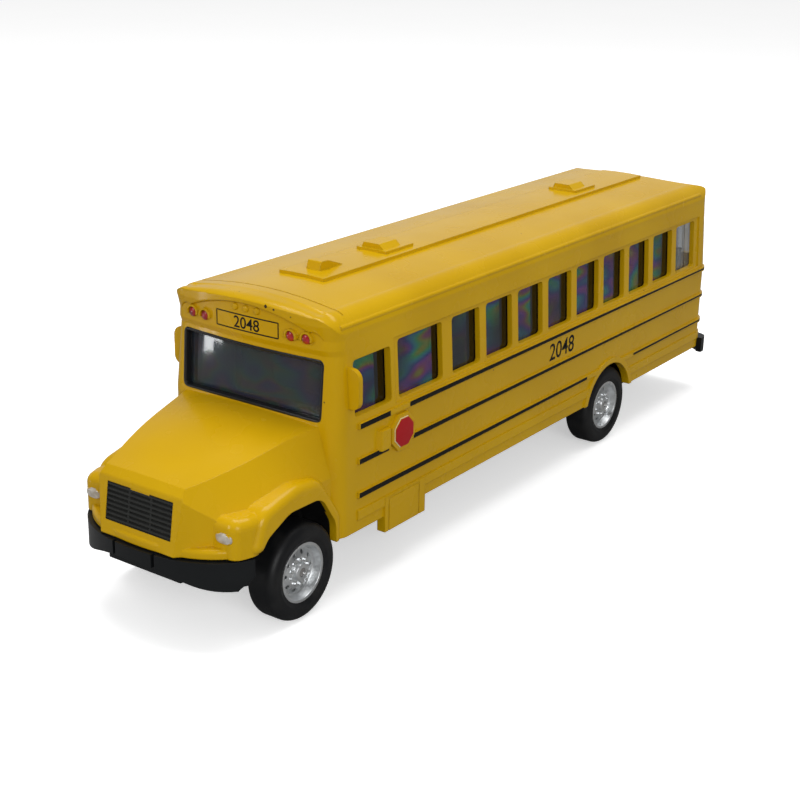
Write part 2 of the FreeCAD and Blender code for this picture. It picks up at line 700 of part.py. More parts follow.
def passenger_holes():
    """Openings of one side from the long window to the last one."""
    holes = [window_hole(*LONG_WINDOW_X, WINDOW_LOW_Z, WINDOW_HIGH_Z)]
    for i in range(WINDOW_COUNT):
        front = WINDOW_FIRST_X - i * WINDOW_PITCH
        holes.append(window_hole(front - WINDOW_W, front, WINDOW_LOW_Z, WINDOW_HIGH_Z))
    return holes


def band_cut():
    """Shallow field on the left side that sets the window pillars back."""
    slope = SIDE_LEAN / (EAVE_Z - BELT_Z)
    low_y = BELT_HALF - slope * (BAND_Z[0] - BELT_Z) - BAND_DEPTH
    high_y = BELT_HALF - slope * (BAND_Z[1] - BELT_Z) - BAND_DEPTH
    corners = [(low_y, BAND_Z[0]), (30, BAND_Z[0]), (30, BAND_Z[1]), (high_y, BAND_Z[1])]
    return prism(corners, on_yz(BAND_X[0]), V(BAND_X[1] - BAND_X[0], 0, 0))


def rear_openings():
    """Two rear windows and the emergency door's window."""
    holes = []
    spans = [REAR_WINDOW_Y, (-REAR_WINDOW_Y[1], -REAR_WINDOW_Y[0]),
             (-REAR_DOOR_WINDOW_HALF, REAR_DOOR_WINDOW_HALF)]
    low_z, high_z = REAR_WINDOW_Z
    for y0, y1 in spans:
        corners = [(y, z, REAR_WINDOW_R) for y, z in ((y0, low_z), (y1, low_z), (y1, high_z), (y0, high_z))]
        holes.append(prism(corners, on_yz(BODY_REAR_X - 3), V(8, 0, 0)))
    return holes


def rear_door_grooves():
    """Engraved outline of the emergency door."""
    depth = (BODY_REAR_X - 1, BODY_REAR_X + SEAM_DEPTH)
    half = REAR_DOOR_HALF
    width = SEAM_W
    z0 = SKIRT_Z + 5
    z1 = REAR_WINDOW_Z[1] + 2.6
    grooves = [slab(depth, (s - width / 2, s + width / 2), (z0, z1)) for s in (-half, half)]
    grooves.append(slab(depth, (-half, half), (z0, z0 + width)))
    grooves.append(slab(depth, (-half, half), (z1 - width, z1)))
    return grooves


def rear_lamps():
    """Round lamp bosses of the rear face: tail lamps low down and warning lamps under the roof."""
    lamps = []
    for y, z, radius in TAIL_LAMPS:
        for side in (-1, 1):
            lamps.append(rod(radius, V(BODY_REAR_X + 0.5, side * y, z),
                             V(BODY_REAR_X - TAIL_LAMP_PROUD, side * y, z)))
    return lamps


def face_x_at(y):
    """X of the header's bowed face at a distance y from the middle line."""
    corner_y = EAVE_HALF - FRONT_CORNER_R
    return HEADER_X - FACE_BOW * (y / corner_y) ** 2


def header_lamps():
    """Four warning lamps under half-round visors, and three marker bumps."""
    z = WARNING_LAMP_Z
    pieces = []
    for y in WARNING_LAMP_Y:
        x = face_x_at(y)
        for side in (-1, 1):
            back = V(x - 0.8, side * y, z)
            visor = rod(VISOR_R, back, V(x + VISOR_PROUD, side * y, z))
            visor = visor.cut(rod(WARNING_LAMP_R + 0.15, V(x - 0.1, side * y, z), V(x + 5, side * y, z)))
            visor = visor.cut(slab((x - 0.05, x + 5), (side * y - 3, side * y + 3), (z - 4, z - 0.5)))
            pieces.append(visor)
            pieces.append(rod(WARNING_LAMP_R, back, V(x + WARNING_LAMP_PROUD, side * y, z)))
    for y in MARKER_YS:
        x = face_x_at(y) + MARKER_PROUD
        bump = rod(MARKER_R, V(x - 1.6, y, MARKER_Z), V(x, y, MARKER_Z))
        rim = [e for e in bump.Edges if e.BoundBox.XMin > x - 0.01]
        pieces.append(bump.makeFillet(MARKER_R * 0.5, rim))
    return pieces


def mirror_ear():
    """Flat rounded mirror cast on the left front pillar."""
    root_y = BELT_HALF - 2.0
    tip_y = BELT_HALF + MIRROR_REACH
    low_z, high_z = MIRROR_Z
    corners = [(root_y, low_z), (tip_y, low_z, 1.9), (tip_y, high_z, 2.3), (root_y, high_z)]
    return prism(corners, on_yz(MIRROR_X[0]), V(MIRROR_X[1] - MIRROR_X[0], 0, 0))


def octagon(radius, y0, y1):
    """Eight-sided plate on the left side around the sign's centre."""
    corners = [(SIGN_X + radius * math.cos(math.radians(22.5 + 45 * k)),
                SIGN_Z + radius * math.sin(math.radians(22.5 + 45 * k))) for k in range(8)]
    return prism(corners, on_xz(y0), V(0, y1 - y0, 0))


def road_sign():
    """Cast octagonal sign in two steps, and the bracket beside it."""
    back = octagon(SIGN_OUTER_R, BELT_HALF - 0.5, BELT_HALF + SIGN_PROUD[0])
    front = octagon(SIGN_INNER_R, BELT_HALF, BELT_HALF + SIGN_PROUD[1])
    x0, x1 = BRACKET_X
    y0 = BELT_HALF - 0.5
    y1 = BELT_HALF + BRACKET_PROUD
    bracket = prism([(x0, y0), (x1, y0), (x1 - 0.9, y1, 0.3), (x0 + 0.3, y1, 0.3)], on_xy(BRACKET_Z[0]),
                    V(0, 0, BRACKET_Z[1] - BRACKET_Z[0]))
    return [back, front, bracket]


def battery_box():
    """Panel that hangs below the left skirt, with an engraved door."""
    x0, x1 = BATTERY_X
    z0, z1 = BATTERY_Z
    outer_y = BELT_HALF + BATTERY_PROUD
    panel = slab((x0, x1), (BELT_HALF - WALL, outer_y), (z0, z1))
    groove = (outer_y - SEAM_DEPTH, outer_y + 1)
    for x in (x0 + 2.2, x1 - 1.6):
        panel = panel.cut(slab((x, x + SEAM_W), groove, (z0 - 1, z1 - 0.4)))
    return panel.cut(slab((x0 + 2.2, x1 - 1.6 + SEAM_W), groove, (z1 - 0.4 - SEAM_W, z1 - 0.4)))


def roof_details():
    """Raised middle strip with its scoop vent and two hatches."""
    crown_z = ROOF_Z - CROWN_R
    top_r = CROWN_R + STRIP_PROUD
    edge_z = crown_z + math.sqrt(top_r ** 2 - STRIP_HALF ** 2)
    x0, x1 = STRIP_X
    corners = [V(x0, STRIP_HALF, edge_z), V(x0, STRIP_HALF, ROOF_Z - 2), V(x0, -STRIP_HALF, ROOF_Z - 2),
               V(x0, -STRIP_HALF, edge_z)]
    edges = [Part.LineSegment(corners[i], corners[i + 1]).toShape() for i in range(3)]
    edges.append(Part.Arc(corners[3], V(x0, 0, crown_z + top_r), corners[0]).toShape())
    strip = Part.Face(Part.Wire(edges)).extrude(V(x1 - x0, 0, 0))
    top = ROOF_Z + STRIP_PROUD
    vent = prism([(VENT_X, top - 1), (VENT_X - 1.0, top + VENT_H, 0.3), (VENT_X - 3.2, top + VENT_H, 0.5),
                  (VENT_X - VENT_L, top - 0.2), (VENT_X - VENT_L, top - 1)], on_xz(-VENT_HALF),
                 V(0, 2 * VENT_HALF, 0))
    pieces = [strip, vent]
    base_h, lid_h = HATCH_H
    for x0, x1 in HATCH_XS:
        pieces.append(slab((x0, x1), (-HATCH_HALF, HATCH_HALF), (top - 1, top + base_h)))
        lid = prism([(-HATCH_HALF + 0.6, top), (HATCH_HALF - 0.6, top), (HATCH_HALF - 2.6, top + lid_h, 0.3),
                     (-HATCH_HALF + 1.4, top + lid_h, 0.3)], on_yz(x0 + 3.4), V(x1 - x0 - 4.2, 0, 0))
        pieces.append(lid)
    return pieces


def shell_posts():
    """Screw posts cast inside the nose and at the rear wall."""
    front = rod(POST_R, V(FRONT_POST_X, 0, PLATE_Z[1]), V(FRONT_POST_X, 0, POST_HIGH_Z))
    top_z = FLOOR_Z[0] - 0.4
    web = slab((BODY_REAR_X + 0.5, REAR_POST_X), (-POST_R / 2, POST_R / 2), (PLATE_Z[1] + 3, top_z))
    rear = rod(POST_R, V(REAR_POST_X, 0, PLATE_Z[1]), V(REAR_POST_X, 0, top_z))
    return [front, rear, web]


def screw_holes():
    """Pilot holes in the shell's posts."""
    return [rod(SCREW_R, V(x, 0, PLATE_Z[1] - 1), V(x, 0, PLATE_Z[1] + SCREW_BITE + 0.5))
            for x in (FRONT_POST_X, REAR_POST_X)]


def hinge_knuckles():
    """The shell's two knuckles for the entry door."""
    length = PIN_L + 0.5
    low_z = KNUCKLE_Z[0] - KNUCKLE_GAP
    high_z = KNUCKLE_Z[1] + KNUCKLE_GAP
    pieces = []
    for z0, z1 in ((low_z - length, low_z), (high_z, high_z + length)):
        knuckle = rod(SHELL_KNUCKLE_R, V(HINGE_X, HINGE_Y, z0), V(HINGE_X, HINGE_Y, z1))
        arm = slab((HINGE_X, HINGE_X + 1.6), (HINGE_Y - 0.1, HINGE_Y + 1.2), (z0, z1))
        pieces.append(knuckle.fuse(arm))
    return pieces


def hinge_bores():
    """Bores for the door's stub pins."""
    radius = PIN_R + PIN_CLEARANCE
    depth = KNUCKLE_GAP + PIN_L + 0.1
    low_z, high_z = KNUCKLE_Z
    return [rod(radius, V(HINGE_X, HINGE_Y, low_z - depth), V(HINGE_X, HINGE_Y, low_z)),
            rod(radius, V(HINGE_X, HINGE_Y, high_z), V(HINGE_X, HINGE_Y, high_z + depth))]


def doorway():
    """Opening in the right side for the entry door, widened at the hinge."""
    x0 = DOOR_X[0] - DOOR_GAP
    x1 = HINGE_X + SHELL_KNUCKLE_R + 0.2
    return slab((x0, x1), (-FAR, 5 - BELT_HALF), (DOOR_Z[0] - DOOR_GAP, DOOR_Z[1] + DOOR_GAP))


def windshield_hole():
    """Opening for the windshield, its lower edge crowned like the hood."""
    half = WINDSHIELD_HALF
    low_z, high_z = WINDSHIELD_Z
    corners = [(-half, low_z, 0.8), (0, low_z + WINDSHIELD_RISE, 60), (half, low_z, 0.8),
               (half, high_z, 1.2), (-half, high_z, 1.2)]
    return prism(corners, on_yz(FACE_X - 8), V(16, 0, 0))


def make_body_shell():
    """The cast shell in one piece."""
    add = [cabin(0, SKIRT_Z), brow(), hood_form(0, HOOD_LOW_Z), valance()]
    add += [rail(z, RAIL_H, RAIL_PROUD, RAIL_FRONT_X) for z in RAIL_ZS]
    add.append(rail(SKIRT_RAIL_Z, SKIRT_RAIL_H, SKIRT_RAIL_PROUD, RAIL_FRONT_X))
    gutter_y = EAVE_HALF - 0.75
    gutter = rod(GUTTER_R, V(BODY_REAR_X + 6, gutter_y, GUTTER_Z), V(HEADER_X - 4, gutter_y, GUTTER_Z))
    for piece in (flare(), lamp_pod(), arch_lip(), mirror_ear(), gutter):
        add += both(piece)
    solid = joined(add + roof_details() + header_lamps() + rear_lamps())
    # open the inside
    low_z = SKIRT_Z - 6
    cavity = cabin(WALL, low_z)
    inner_y = WELL_INNER_Y - 1.4
    hood_cavity = hood_form(WALL, low_z).common(slab((FACE_X + 1.2, 120), (-inner_y, inner_y), (0, 60)))
    wells = []
    for side in (-1, 1):
        wells.append(prism(ARCH_FRONT, on_xz(side * WELL_INNER_Y), V(0, side * 12, 0)))
        wells.append(rod(ARCH_REAR_R, V(ARCH_REAR_X, side * WELL_INNER_Y, ARCH_REAR_Z),
                         V(ARCH_REAR_X, side * (BELT_HALF + 2.5), ARCH_REAR_Z)))
    under_z = (0, PLATE_Z[1] + PLATE_GAP)
    under = slab((FACE_X - 12, FACE_X + 4), (-WELL_INNER_Y, WELL_INNER_Y), under_z)
    tail_y = BELT_HALF - 5.5
    rear_under = slab((BODY_REAR_X - 2, BODY_REAR_X + 4), (-tail_y, tail_y), under_z)
    solid = solid.cut([cavity, hood_cavity, under, rear_under] + wells)
    solid = solid.cut(both(band_cut()))
    left_holes = passenger_holes()
    right_holes = [mirrored(h) for h in left_holes]
    left_holes.append(window_hole(*DRIVER_WINDOW_X, *DRIVER_WINDOW_Z))
    solid = solid.cut(left_holes + right_holes + rear_openings() + rear_door_grooves()
                      + [windshield_hole(), grille_recess(), doorway()])
    seam_y = SHOULDER_HALF + 2.7
    seam = slab((CAP_SEAM_X, CAP_SEAM_X + SEAM_W), (-seam_y, seam_y), (EAVE_Z, ROOF_Z + 2))
    solid = solid.cut(seam.cut(roof_limit(SEAM_DEPTH)))
    solid = solid.cut(octagon(SIGN_OUTER_R + SIGN_MARGIN, BELT_HALF, BELT_HALF + 4))
    more = shell_posts() + road_sign() + grille() + hinge_knuckles() + [battery_box(), lens(1), lens(-1)]
    solid = joined([solid] + more)
    return solid.cut(screw_holes() + hinge_bores())


# ---------------------------------------------------------------- glazing, door and interior

def make_window_glazing():
    """Clear moulded box behind the windows, its skirt standing on the interior's floor."""
    def block(inset, low_z, top_z):
        lean_x = FACE_X - FACE_LEAN * (top_z - BELT_Z) / (HEADER_Z - BELT_Z)
        belt = cab_plan(FACE_X, BELT_HALF, BELT_Z, inset)
        low = Part.makeLoft([cab_plan(FACE_X, BELT_HALF, low_z, inset), belt], True, True)
        return low.fuse(Part.makeLoft([belt, cab_plan(lean_x, side_half(top_z), top_z, inset)], True, True))

    gap = WALL + GLAZING_GAP
    top_z = EAVE_Z - 1.0
    box = block(gap, FLOOR_Z[1], top_z).cut(block(gap + PANE_T, FLOOR_Z[1] - 1, top_z - PANE_T))
    door_side = slab((DOOR_X[0] - 2, HINGE_X + 2.2), (-FAR, 8.5 - BELT_HALF), (0, DOOR_Z[1] + 1.2))
    return box.cut(door_side)


def door_skin(x, z, outer, inner):
    """Part of the right side's skin between two depths."""
    skin = cabin_walls(outer, SKIRT_Z).cut(cabin_walls(inner, SKIRT_Z - 1))
    return skin.common(slab(x, (-FAR, 0), z))


def make_entry_door():
    """Door leaf with four openings, a middle groove and the hinge barrel with its stub pins."""
    leaf = door_skin(DOOR_X, DOOR_Z, 0, DOOR_T)
    axis = V(HINGE_X, HINGE_Y, 0)
    reach = V(0, 0, KNUCKLE_GAP + PIN_L)
    low = axis + V(0, 0, KNUCKLE_Z[0])
    high = axis + V(0, 0, KNUCKLE_Z[1])
    barrel = rod(KNUCKLE_R, low, high)
    pins = rod(PIN_R, low - reach, high + reach)
    strap = slab((DOOR_X[1] - 0.5, HINGE_X), (HINGE_Y - 0.25, HINGE_Y + 0.45), KNUCKLE_Z)
    holes = []
    for x0, x1 in DOOR_PANE_X:
        for z0, z1 in DOOR_PANE_Z:
            corners = [(x, z, DOOR_PANE_R) for x, z in ((x0, z0), (x1, z0), (x1, z1), (x0, z1))]
            holes.append(prism(corners, on_xz(-FAR), V(0, FAR - BELT_HALF + 5, 0)))
    middle = (DOOR_X[0] + DOOR_X[1]) / 2
    groove = slab((middle - SEAM_W / 2, middle + SEAM_W / 2), (-FAR, SEAM_DEPTH - BELT_HALF), DOOR_Z)
    return joined([leaf, barrel, pins, strap]).cut(holes + [groove])


def make_door_glazing():
    """Clear pane clipped behind the door's openings."""
    x = (DOOR_PANE_X[0][0] - 0.7, DOOR_PANE_X[1][1] + 0.7)
    z = (DOOR_PANE_Z[0][0] - 0.8, DOOR_PANE_Z[1][1] + 0.8)
    return door_skin(x, z, DOOR_T, DOOR_T + DOOR_GLASS_T)


def bench(front_x):
    """Left bench: cushion and rounded back, as one profile across the bus."""
    x0 = front_x - BENCH_DEPTH - BENCH_BACK_T
    back_x = x0 + BENCH_BACK_T
    corners = [(x0, FLOOR_Z[1] - 0.2), (front_x, FLOOR_Z[1] - 0.2), (front_x, BENCH_SEAT_Z, 1.0),
               (back_x + 0.6, BENCH_SEAT_Z, 0.6), (back_x, BENCH_BACK_Z, 0.7), (x0 - 0.5, BENCH_BACK_Z, 0.7)]
    return prism(corners, on_xz(BENCH_Y[0]), V(0, BENCH_Y[1] - BENCH_Y[0], 0))


def make_interior_seats():
    """Floor, benches, dash, driver's seat and steering wheel in one moulding on four legs."""
    floor_top = FLOOR_Z[1]
    pieces = [slab(FLOOR_X, (-FLOOR_HALF, FLOOR_HALF), FLOOR_Z)]
    first = WINDOW_FIRST_X + WINDOW_PITCH - 1.0
    for i in range(WINDOW_COUNT + 1):
        pieces += both(bench(first - i * WINDOW_PITCH))
    driver = bench(DRIVER_X).common(slab((40, 60), (5.0, 15.5), (0, 60)))
    dash = prism([(62.6, floor_top - 0.2), (FLOOR_X[1], floor_top - 0.2), (FLOOR_X[1], floor_top + 7.4, 1.0),
                  (63.4, floor_top + 6.2, 1.0)], on_xz(7.5 - BELT_HALF), V(0, 2 * BELT_HALF - 11.5, 0))
    wheel = Part.makeTorus(STEERING_R, 0.35, WHEEL_HUB, V(-0.5, 0, 0.87))
    column = rod(0.6, WHEEL_HUB + V(3.6, 0, -6.2), WHEEL_HUB)
    spoke = rod(0.35, WHEEL_HUB - V(0, STEERING_R, 0), WHEEL_HUB + V(0, STEERING_R, 0))
    pieces += [driver, dash, wheel, column, spoke]
    for x in LEG_XS:
        pieces += both(rod(LEG_R, V(x, LEG_Y, PLATE_Z[1]), V(x, LEG_Y, FLOOR_Z[0] + 0.2)))
    well = slab((DOOR_X[0] - 2.2, HINGE_X + 2.4), (-FAR, 7.1 - BELT_HALF), (0, 60))
    return joined(pieces).cut(well)


# ---------------------------------------------------------------- gears and motor

def gear(teeth, centre, y, phase, bore):
    """Spur gear between the pair y, with a tooth centred on the direction phase (degrees)."""
    pitch_r = GEAR_MODULE * teeth / 2
    root_r = pitch_r - 1.25 * GEAR_MODULE
    tip_r = pitch_r + 0.95 * GEAR_MODULE
    base_r = pitch_r * math.cos(math.radians(20))
    half_pitch = (math.pi * GEAR_MODULE / 2 - GEAR_BACKLASH) / 2 / pitch_r

    def involute(r):
        roll = math.acos(min(1.0, base_r / r))
        return math.tan(roll) - roll

    flank = []
    for r in (max(base_r, root_r) + 0.001, pitch_r, tip_r):
        flank.append((r, half_pitch + involute(pitch_r) - involute(r)))
    flank = [(root_r, flank[0][1])] + flank
    corners = []
    for k in range(teeth):
        middle = math.radians(phase) + 2 * math.pi * k / teeth
        for r, half in flank:
            corners.append((r, middle - half))
        for r, half in reversed(flank):
            corners.append((r, middle + half))
    flat = [(centre[0] + r * math.cos(a), centre[1] + r * math.sin(a)) for r, a in corners]
    body = prism(flat, on_xz(y[0]), V(0, y[1] - y[0], 0))
    return body.cut(rod(bore, V(centre[0], y[0] - 1, centre[1]), V(centre[0], y[1] + 1, centre[1])))


def polar(centre, angle, distance):
    """Point at an angle and distance from a centre, in (x, z)."""
    turn = math.radians(angle)
    return (centre[0] + distance * math.cos(turn), centre[1] + distance * math.sin(turn))


GEAR_DISTANCE = GEAR_MODULE * (PINION_TEETH + WHEEL_TEETH) / 2
AXLE_AT = (REAR_AXLE_X, AXLE_Z)
COMPOUND_AT = polar(AXLE_AT, COMPOUND_ANGLE, GEAR_DISTANCE)
DRUM_AT = polar(COMPOUND_AT, DRUM_ANGLE, GEAR_DISTANCE)
WHEEL_TIP_R = GEAR_MODULE * (WHEEL_TEETH / 2 + 0.95)
CUP_R = GEAR_MODULE * (WHEEL_TEETH / 2 - 1.25)
TAB_XS = (AXLE_AT[0] + 1.5, DRUM_AT[0] + 3.0)


def case_faces(grow):
    """Three round faces about the motor's shafts, which make the case's side outline."""
    radius = WHEEL_TIP_R + grow
    faces = []
    for at, r in ((AXLE_AT, CASE_NOSE_R + grow), (COMPOUND_AT, radius), (DRUM_AT, radius)):
        circle = Part.Circle(V(at[0], 0, at[1]), V(0, 1, 0), r)
        faces.append(Part.Face(Part.Wire(circle.toShape())))
    return faces


def case_half(side):
    """One half of the motor case: an open cup with bores for the axle and both shafts."""
    def block(grow, y0, y1):
        solids = []
        for face in case_faces(grow):
            face.translate(V(0, y0, 0))
            solids.append(face.extrude(V(0, y1 - y0, 0)))
        low_z = AXLE_AT[1] - CASE_NOSE_R - grow
        solids.append(slab((AXLE_AT[0], DRUM_AT[0]), (y0, y1), (low_z, COMPOUND_AT[1])))
        return joined(solids)

    y0, y1 = (0.05, CASE_HALF_Y) if side > 0 else (-CASE_HALF_Y, -0.05)
    shell = block(CASE_GAP + CASE_WALL, y0, y1)
    inner = block(CASE_GAP, -CASE_HALF_Y + CASE_WALL, CASE_HALF_Y - CASE_WALL)
    half = shell.cut(inner)
    tabs = []
    for x in TAB_XS:
        tab_z = (PLATE_Z[1], PLATE_Z[1] + TAB_T)
        tab = slab((x - 2.6, x + 2.6), (CASE_HALF_Y - 1.2, CASE_HALF_Y + 3.2), tab_z)
        tab = tab.cut(rod(SCREW_R, V(x, TAB_SCREW_Y, 0), V(x, TAB_SCREW_Y, 40)))
        tabs.append(tab if side > 0 else mirrored(tab))
    half = joined([half] + [t.cut(inner) for t in tabs])
    bores = []
    for at, radius in ((AXLE_AT, AXLE_R), (COMPOUND_AT, SHAFT_R), (DRUM_AT, SHAFT_R)):
        bores.append(rod(radius + AXLE_CLEARANCE, V(at[0], -20, at[1]), V(at[0], 20, at[1])))
    return half.cut(bores)


def shaft(at):
    """Steel pin across the motor case."""
    return rod(SHAFT_R, V(at[0], -CASE_HALF_Y, at[1]), V(at[0], CASE_HALF_Y, at[1]))


def make_compound_gear():
    """Large wheel driven by the axle's pinion, in one piece with the small one that drives the drum."""
    back = COMPOUND_ANGLE + 180
    large = gear(WHEEL_TEETH, COMPOUND_AT, FIRST_MESH_Y, back + 180 / WHEEL_TEETH, SHAFT_R + FIT_GAP)
    small_y = (SECOND_MESH_Y[0], FIRST_MESH_Y[0])
    small = gear(PINION_TEETH, COMPOUND_AT, small_y, DRUM_ANGLE, SHAFT_R + FIT_GAP)
    return joined([large, small])


def make_spring_drum():
    """Toothed drum whose cup holds the mainspring."""
    phase = DRUM_ANGLE + 180 + 180 / WHEEL_TEETH
    teeth = gear(WHEEL_TEETH, DRUM_AT, (SECOND_MESH_Y[0], SECOND_MESH_Y[1] - 0.3), phase, SHAFT_R + FIT_GAP)
    x, z = DRUM_AT
    cup = rod(CUP_R, V(x, DRUM_Y[0], z), V(x, DRUM_Y[1], z))
    room = rod(CUP_R - DRUM_WALL, V(x, DRUM_Y[0] - 1, z), V(x, DRUM_Y[1] - DRUM_WALL, z))
    cup = cup.cut([room, rod(SHAFT_R + FIT_GAP, V(x, -20, z), V(x, 20, z))])
    return joined([teeth, cup])


def make_mainspring():
    """Flat spring wound in a spiral of half circles from the shaft out to the drum's wall."""
    x, z = DRUM_AT
    y0 = DRUM_Y[0] + 0.5
    y1 = DRUM_Y[1] - DRUM_WALL - 0.2
    first_r = SHAFT_R + SPRING_GAP
    room = CUP_R - DRUM_WALL - SPRING_GAP - SPRING_T - first_r
    turns = min(SPRING_TURNS, int(room / SPRING_PITCH))

    def spiral(start_r):
        arcs = []
        radius = start_r
        centre = x
        for k in range(2 * turns):
            sign = 1 if k % 2 == 0 else -1
            start = V(centre + sign * radius, 0, z)
            end = V(centre - sign * radius, 0, z)
            arcs.append((start, V(centre, 0, z + sign * radius), end))
            radius += SPRING_PITCH / 2
            centre = end.x + sign * radius
        return arcs

    inner = spiral(first_r)
    outer = spiral(first_r + SPRING_T)
    edges = [Part.Arc(*a).toShape() for a in inner]
    edges.append(Part.LineSegment(inner[-1][2], outer[-1][2]).toShape())
    edges += [Part.Arc(*a).toShape() for a in reversed(outer)]
    edges.append(Part.LineSegment(outer[0][0], inner[0][0]).toShape())
    strip = Part.Face(Part.Wire(edges)).extrude(V(0, y1 - y0, 0))
    strip.translate(V(0, y0, 0))
    return strip


# ---------------------------------------------------------------- base

def front_bumper():
    """Bowed bumper bar with two notches in its top, its lower edge raised in the middle."""
    low_z, high_z = BUMPER_Z
    bar = bow(0, low_z, high_z).cut(bow(BUMPER_T, low_z, high_z))
    bar = bar.cut(slab((BOW_X - 5, BOW_END_X), (-FAR, FAR), (0, high_z + 1)))
    (low_y, edge_z), (top_y, rise_z) = BUMPER_RISE
    half_side = [(FAR, 5), (FAR, edge_z), (low_y, edge_z, BUMPER_RISE_R), (top_y, rise_z, BUMPER_RISE_R)]
    corners = half_side + [(-y, *rest) for y, *rest in reversed(half_side)]
    bar = bar.cut(prism(corners, on_yz(BOW_X), V(30, 0, 0)))
    end_z = low_z + BUMPER_END_RISE
    end = [(BOW_X, 5), (BOW_END_X + 5, 5), (BOW_END_X + 3.5, low_z, 3.0), (BOW_END_X, end_z), (BOW_X, end_z)]
    bar = bar.cut(prism(end, on_xz(-FAR), V(0, 2 * FAR, 0)))
    for y in (-BUMPER_GROOVE_Y, BUMPER_GROOVE_Y):
        span = (y - BUMPER_GROOVE_W / 2, y + BUMPER_GROOVE_W / 2)
        bar = bar.cut(slab((BUMPER_FRONT_X - 1.2, 120), span, (BUMPER_GROOVE_Z, high_z + 1)))
    return bar


def rear_bumper():
    """Rear bar that turns both corners of the shell."""
    low_z, high_z = REAR_BUMPER_Z
    inner_y = BELT_HALF + 0.1
    outer_y = inner_y + REAR_BUMPER_T
    half_side = [(REAR_BUMPER_END_X, outer_y), (BUMPER_REAR_X, outer_y, 3.6)]
    inner_side = [(REAR_BUMPER_END_X + 3, inner_y), (BODY_REAR_X - 0.1, inner_y, REAR_CORNER_R)]
    outer = half_side + [(x, -y, *r) for x, y, *r in reversed(half_side)]
    inner = inner_side + [(x, -y, *r) for x, y, *r in reversed(inner_side)]
    bar = prism(outer, on_xy(low_z), V(0, 0, high_z - low_z))
    return bar.cut(prism(inner, on_xy(low_z - 1), V(0, 0, high_z - low_z + 2)))


def axle_cheeks(x):
    """Pair of bearing blocks under the plate, open at the bottom so that the axle snaps in."""
    block = slab((x - CHEEK_HALF_X, x + CHEEK_HALF_X), CHEEK_Y, (CHEEK_LOW_Z, PLATE_Z[0] + 0.5))
    bore = rod(AXLE_R + AXLE_CLEARANCE, V(x, 0, AXLE_Z), V(x, 30, AXLE_Z))
    slot = slab((x - SNAP_SLOT_W / 2, x + SNAP_SLOT_W / 2), (0, 30), (0, AXLE_Z))
    return both(block.cut([bore, slot]))


def make_chassis_base():
    """Base plate with frame rails, axle bearings, motor opening and both bumpers."""
    low_z, high_z = PLATE_Z
    rise = V(0, 0, high_z - low_z)
    plate = Part.Face(cab_plan(FACE_X, BELT_HALF, low_z, WALL + PLATE_GAP)).extrude(rise)
    half_nose = [(FACE_X - 4, NOSE_PLATE_HALF), (NOSE_PLATE_X, NOSE_PLATE_HALF),
                 (NOSE_PLATE_X + 8.8, NOSE_PLATE_HALF - 2)]
    nose = prism(half_nose + [(x, -y) for x, y in reversed(half_nose)], on_xy(low_z), rise)
    arms = slab(ARM_X, (2 - BELT_HALF, BELT_HALF - 2), PLATE_Z).common(bow(BUMPER_T / 2, low_z, high_z))
    tail_y = BELT_HALF - 6.5
    tail = slab((BODY_REAR_X - 1.0, BODY_REAR_X + 4), (-tail_y, tail_y), PLATE_Z)
    solid = joined([plate, nose, arms, tail, front_bumper(), rear_bumper()])
    cuts = []
    reach = AXLE_Z + 1.0
    wheel_y = (WHEEL_FACE_Y - TYRE_W - 1.4, FAR)
    for x in (FRONT_AXLE_X, REAR_AXLE_X):
        cuts += both(slab((x - reach, x + reach), wheel_y, (0, 20)))
    case_reach = CASE_GAP + CASE_WALL + 0.4
    hole_x = (AXLE_AT[0] - CASE_NOSE_R - case_reach, DRUM_AT[0] + WHEEL_TIP_R + case_reach)
    cuts.append(slab(hole_x, (-CASE_HALF_Y - 0.3, CASE_HALF_Y + 0.3), (0, 20)))
    solid = solid.cut(cuts)
    add = axle_cheeks(FRONT_AXLE_X) + axle_cheeks(REAR_AXLE_X)
    rib_z = (low_z - FRAME_RAIL_H, low_z + 0.2)
    for y in FRAME_RAIL_YS:
        for x in ((-98.0, hole_x[0] - 1.0), (hole_x[1] + 1.0, NOSE_PLATE_X)):
            add.append(slab(x, (y, y + 1.5), rib_z))
    for x in CROSS_RIB_XS:
        add.append(slab((x, x + 1.5), (-9.0, 9.0), (low_z - FRAME_RAIL_H + 0.4, low_z + 0.2)))
    holes = []
    for x in (FRONT_POST_X, REAR_POST_X):
        add.append(rod(SCREW_HEAD_R + 1.2, V(x, 0, rib_z[0]), V(x, 0, rib_z[1])))
        holes.append(rod(SCREW_R + 0.2, V(x, 0, 0), V(x, 0, 20)))
        holes.append(rod(SCREW_HEAD_R + 0.2, V(x, 0, 0), V(x, 0, rib_z[0] + SCREW_HEAD_H + 0.1)))
    for x in TAB_XS:
        holes += both(rod(SCREW_R - 0.05, V(x, TAB_SCREW_Y, low_z + 0.4), V(x, TAB_SCREW_Y, 20)))
    return joined([solid] + add).cut(holes)


# ---------------------------------------------------------------- wheels

def make_tyre():
    """Left tyre about its own axis, outer face at y = 0."""
    width = TYRE_W
    seat = TYRE_SEAT_R + FIT_GAP
    rib = TYRE_RIB_R + FIT_GAP
    corners = [(-0.5, seat), (0.0, seat + 1.1, 0.5), (-0.15, AXLE_Z, 1.9), (0.15 - width, AXLE_Z, 1.9),
               (-width, seat + 1.1, 0.5), (0.5 - width, seat), (-5.2, seat), (-5.2, rib), (-2.2, rib),
               (-2.2, seat)]
    return turned(corners)


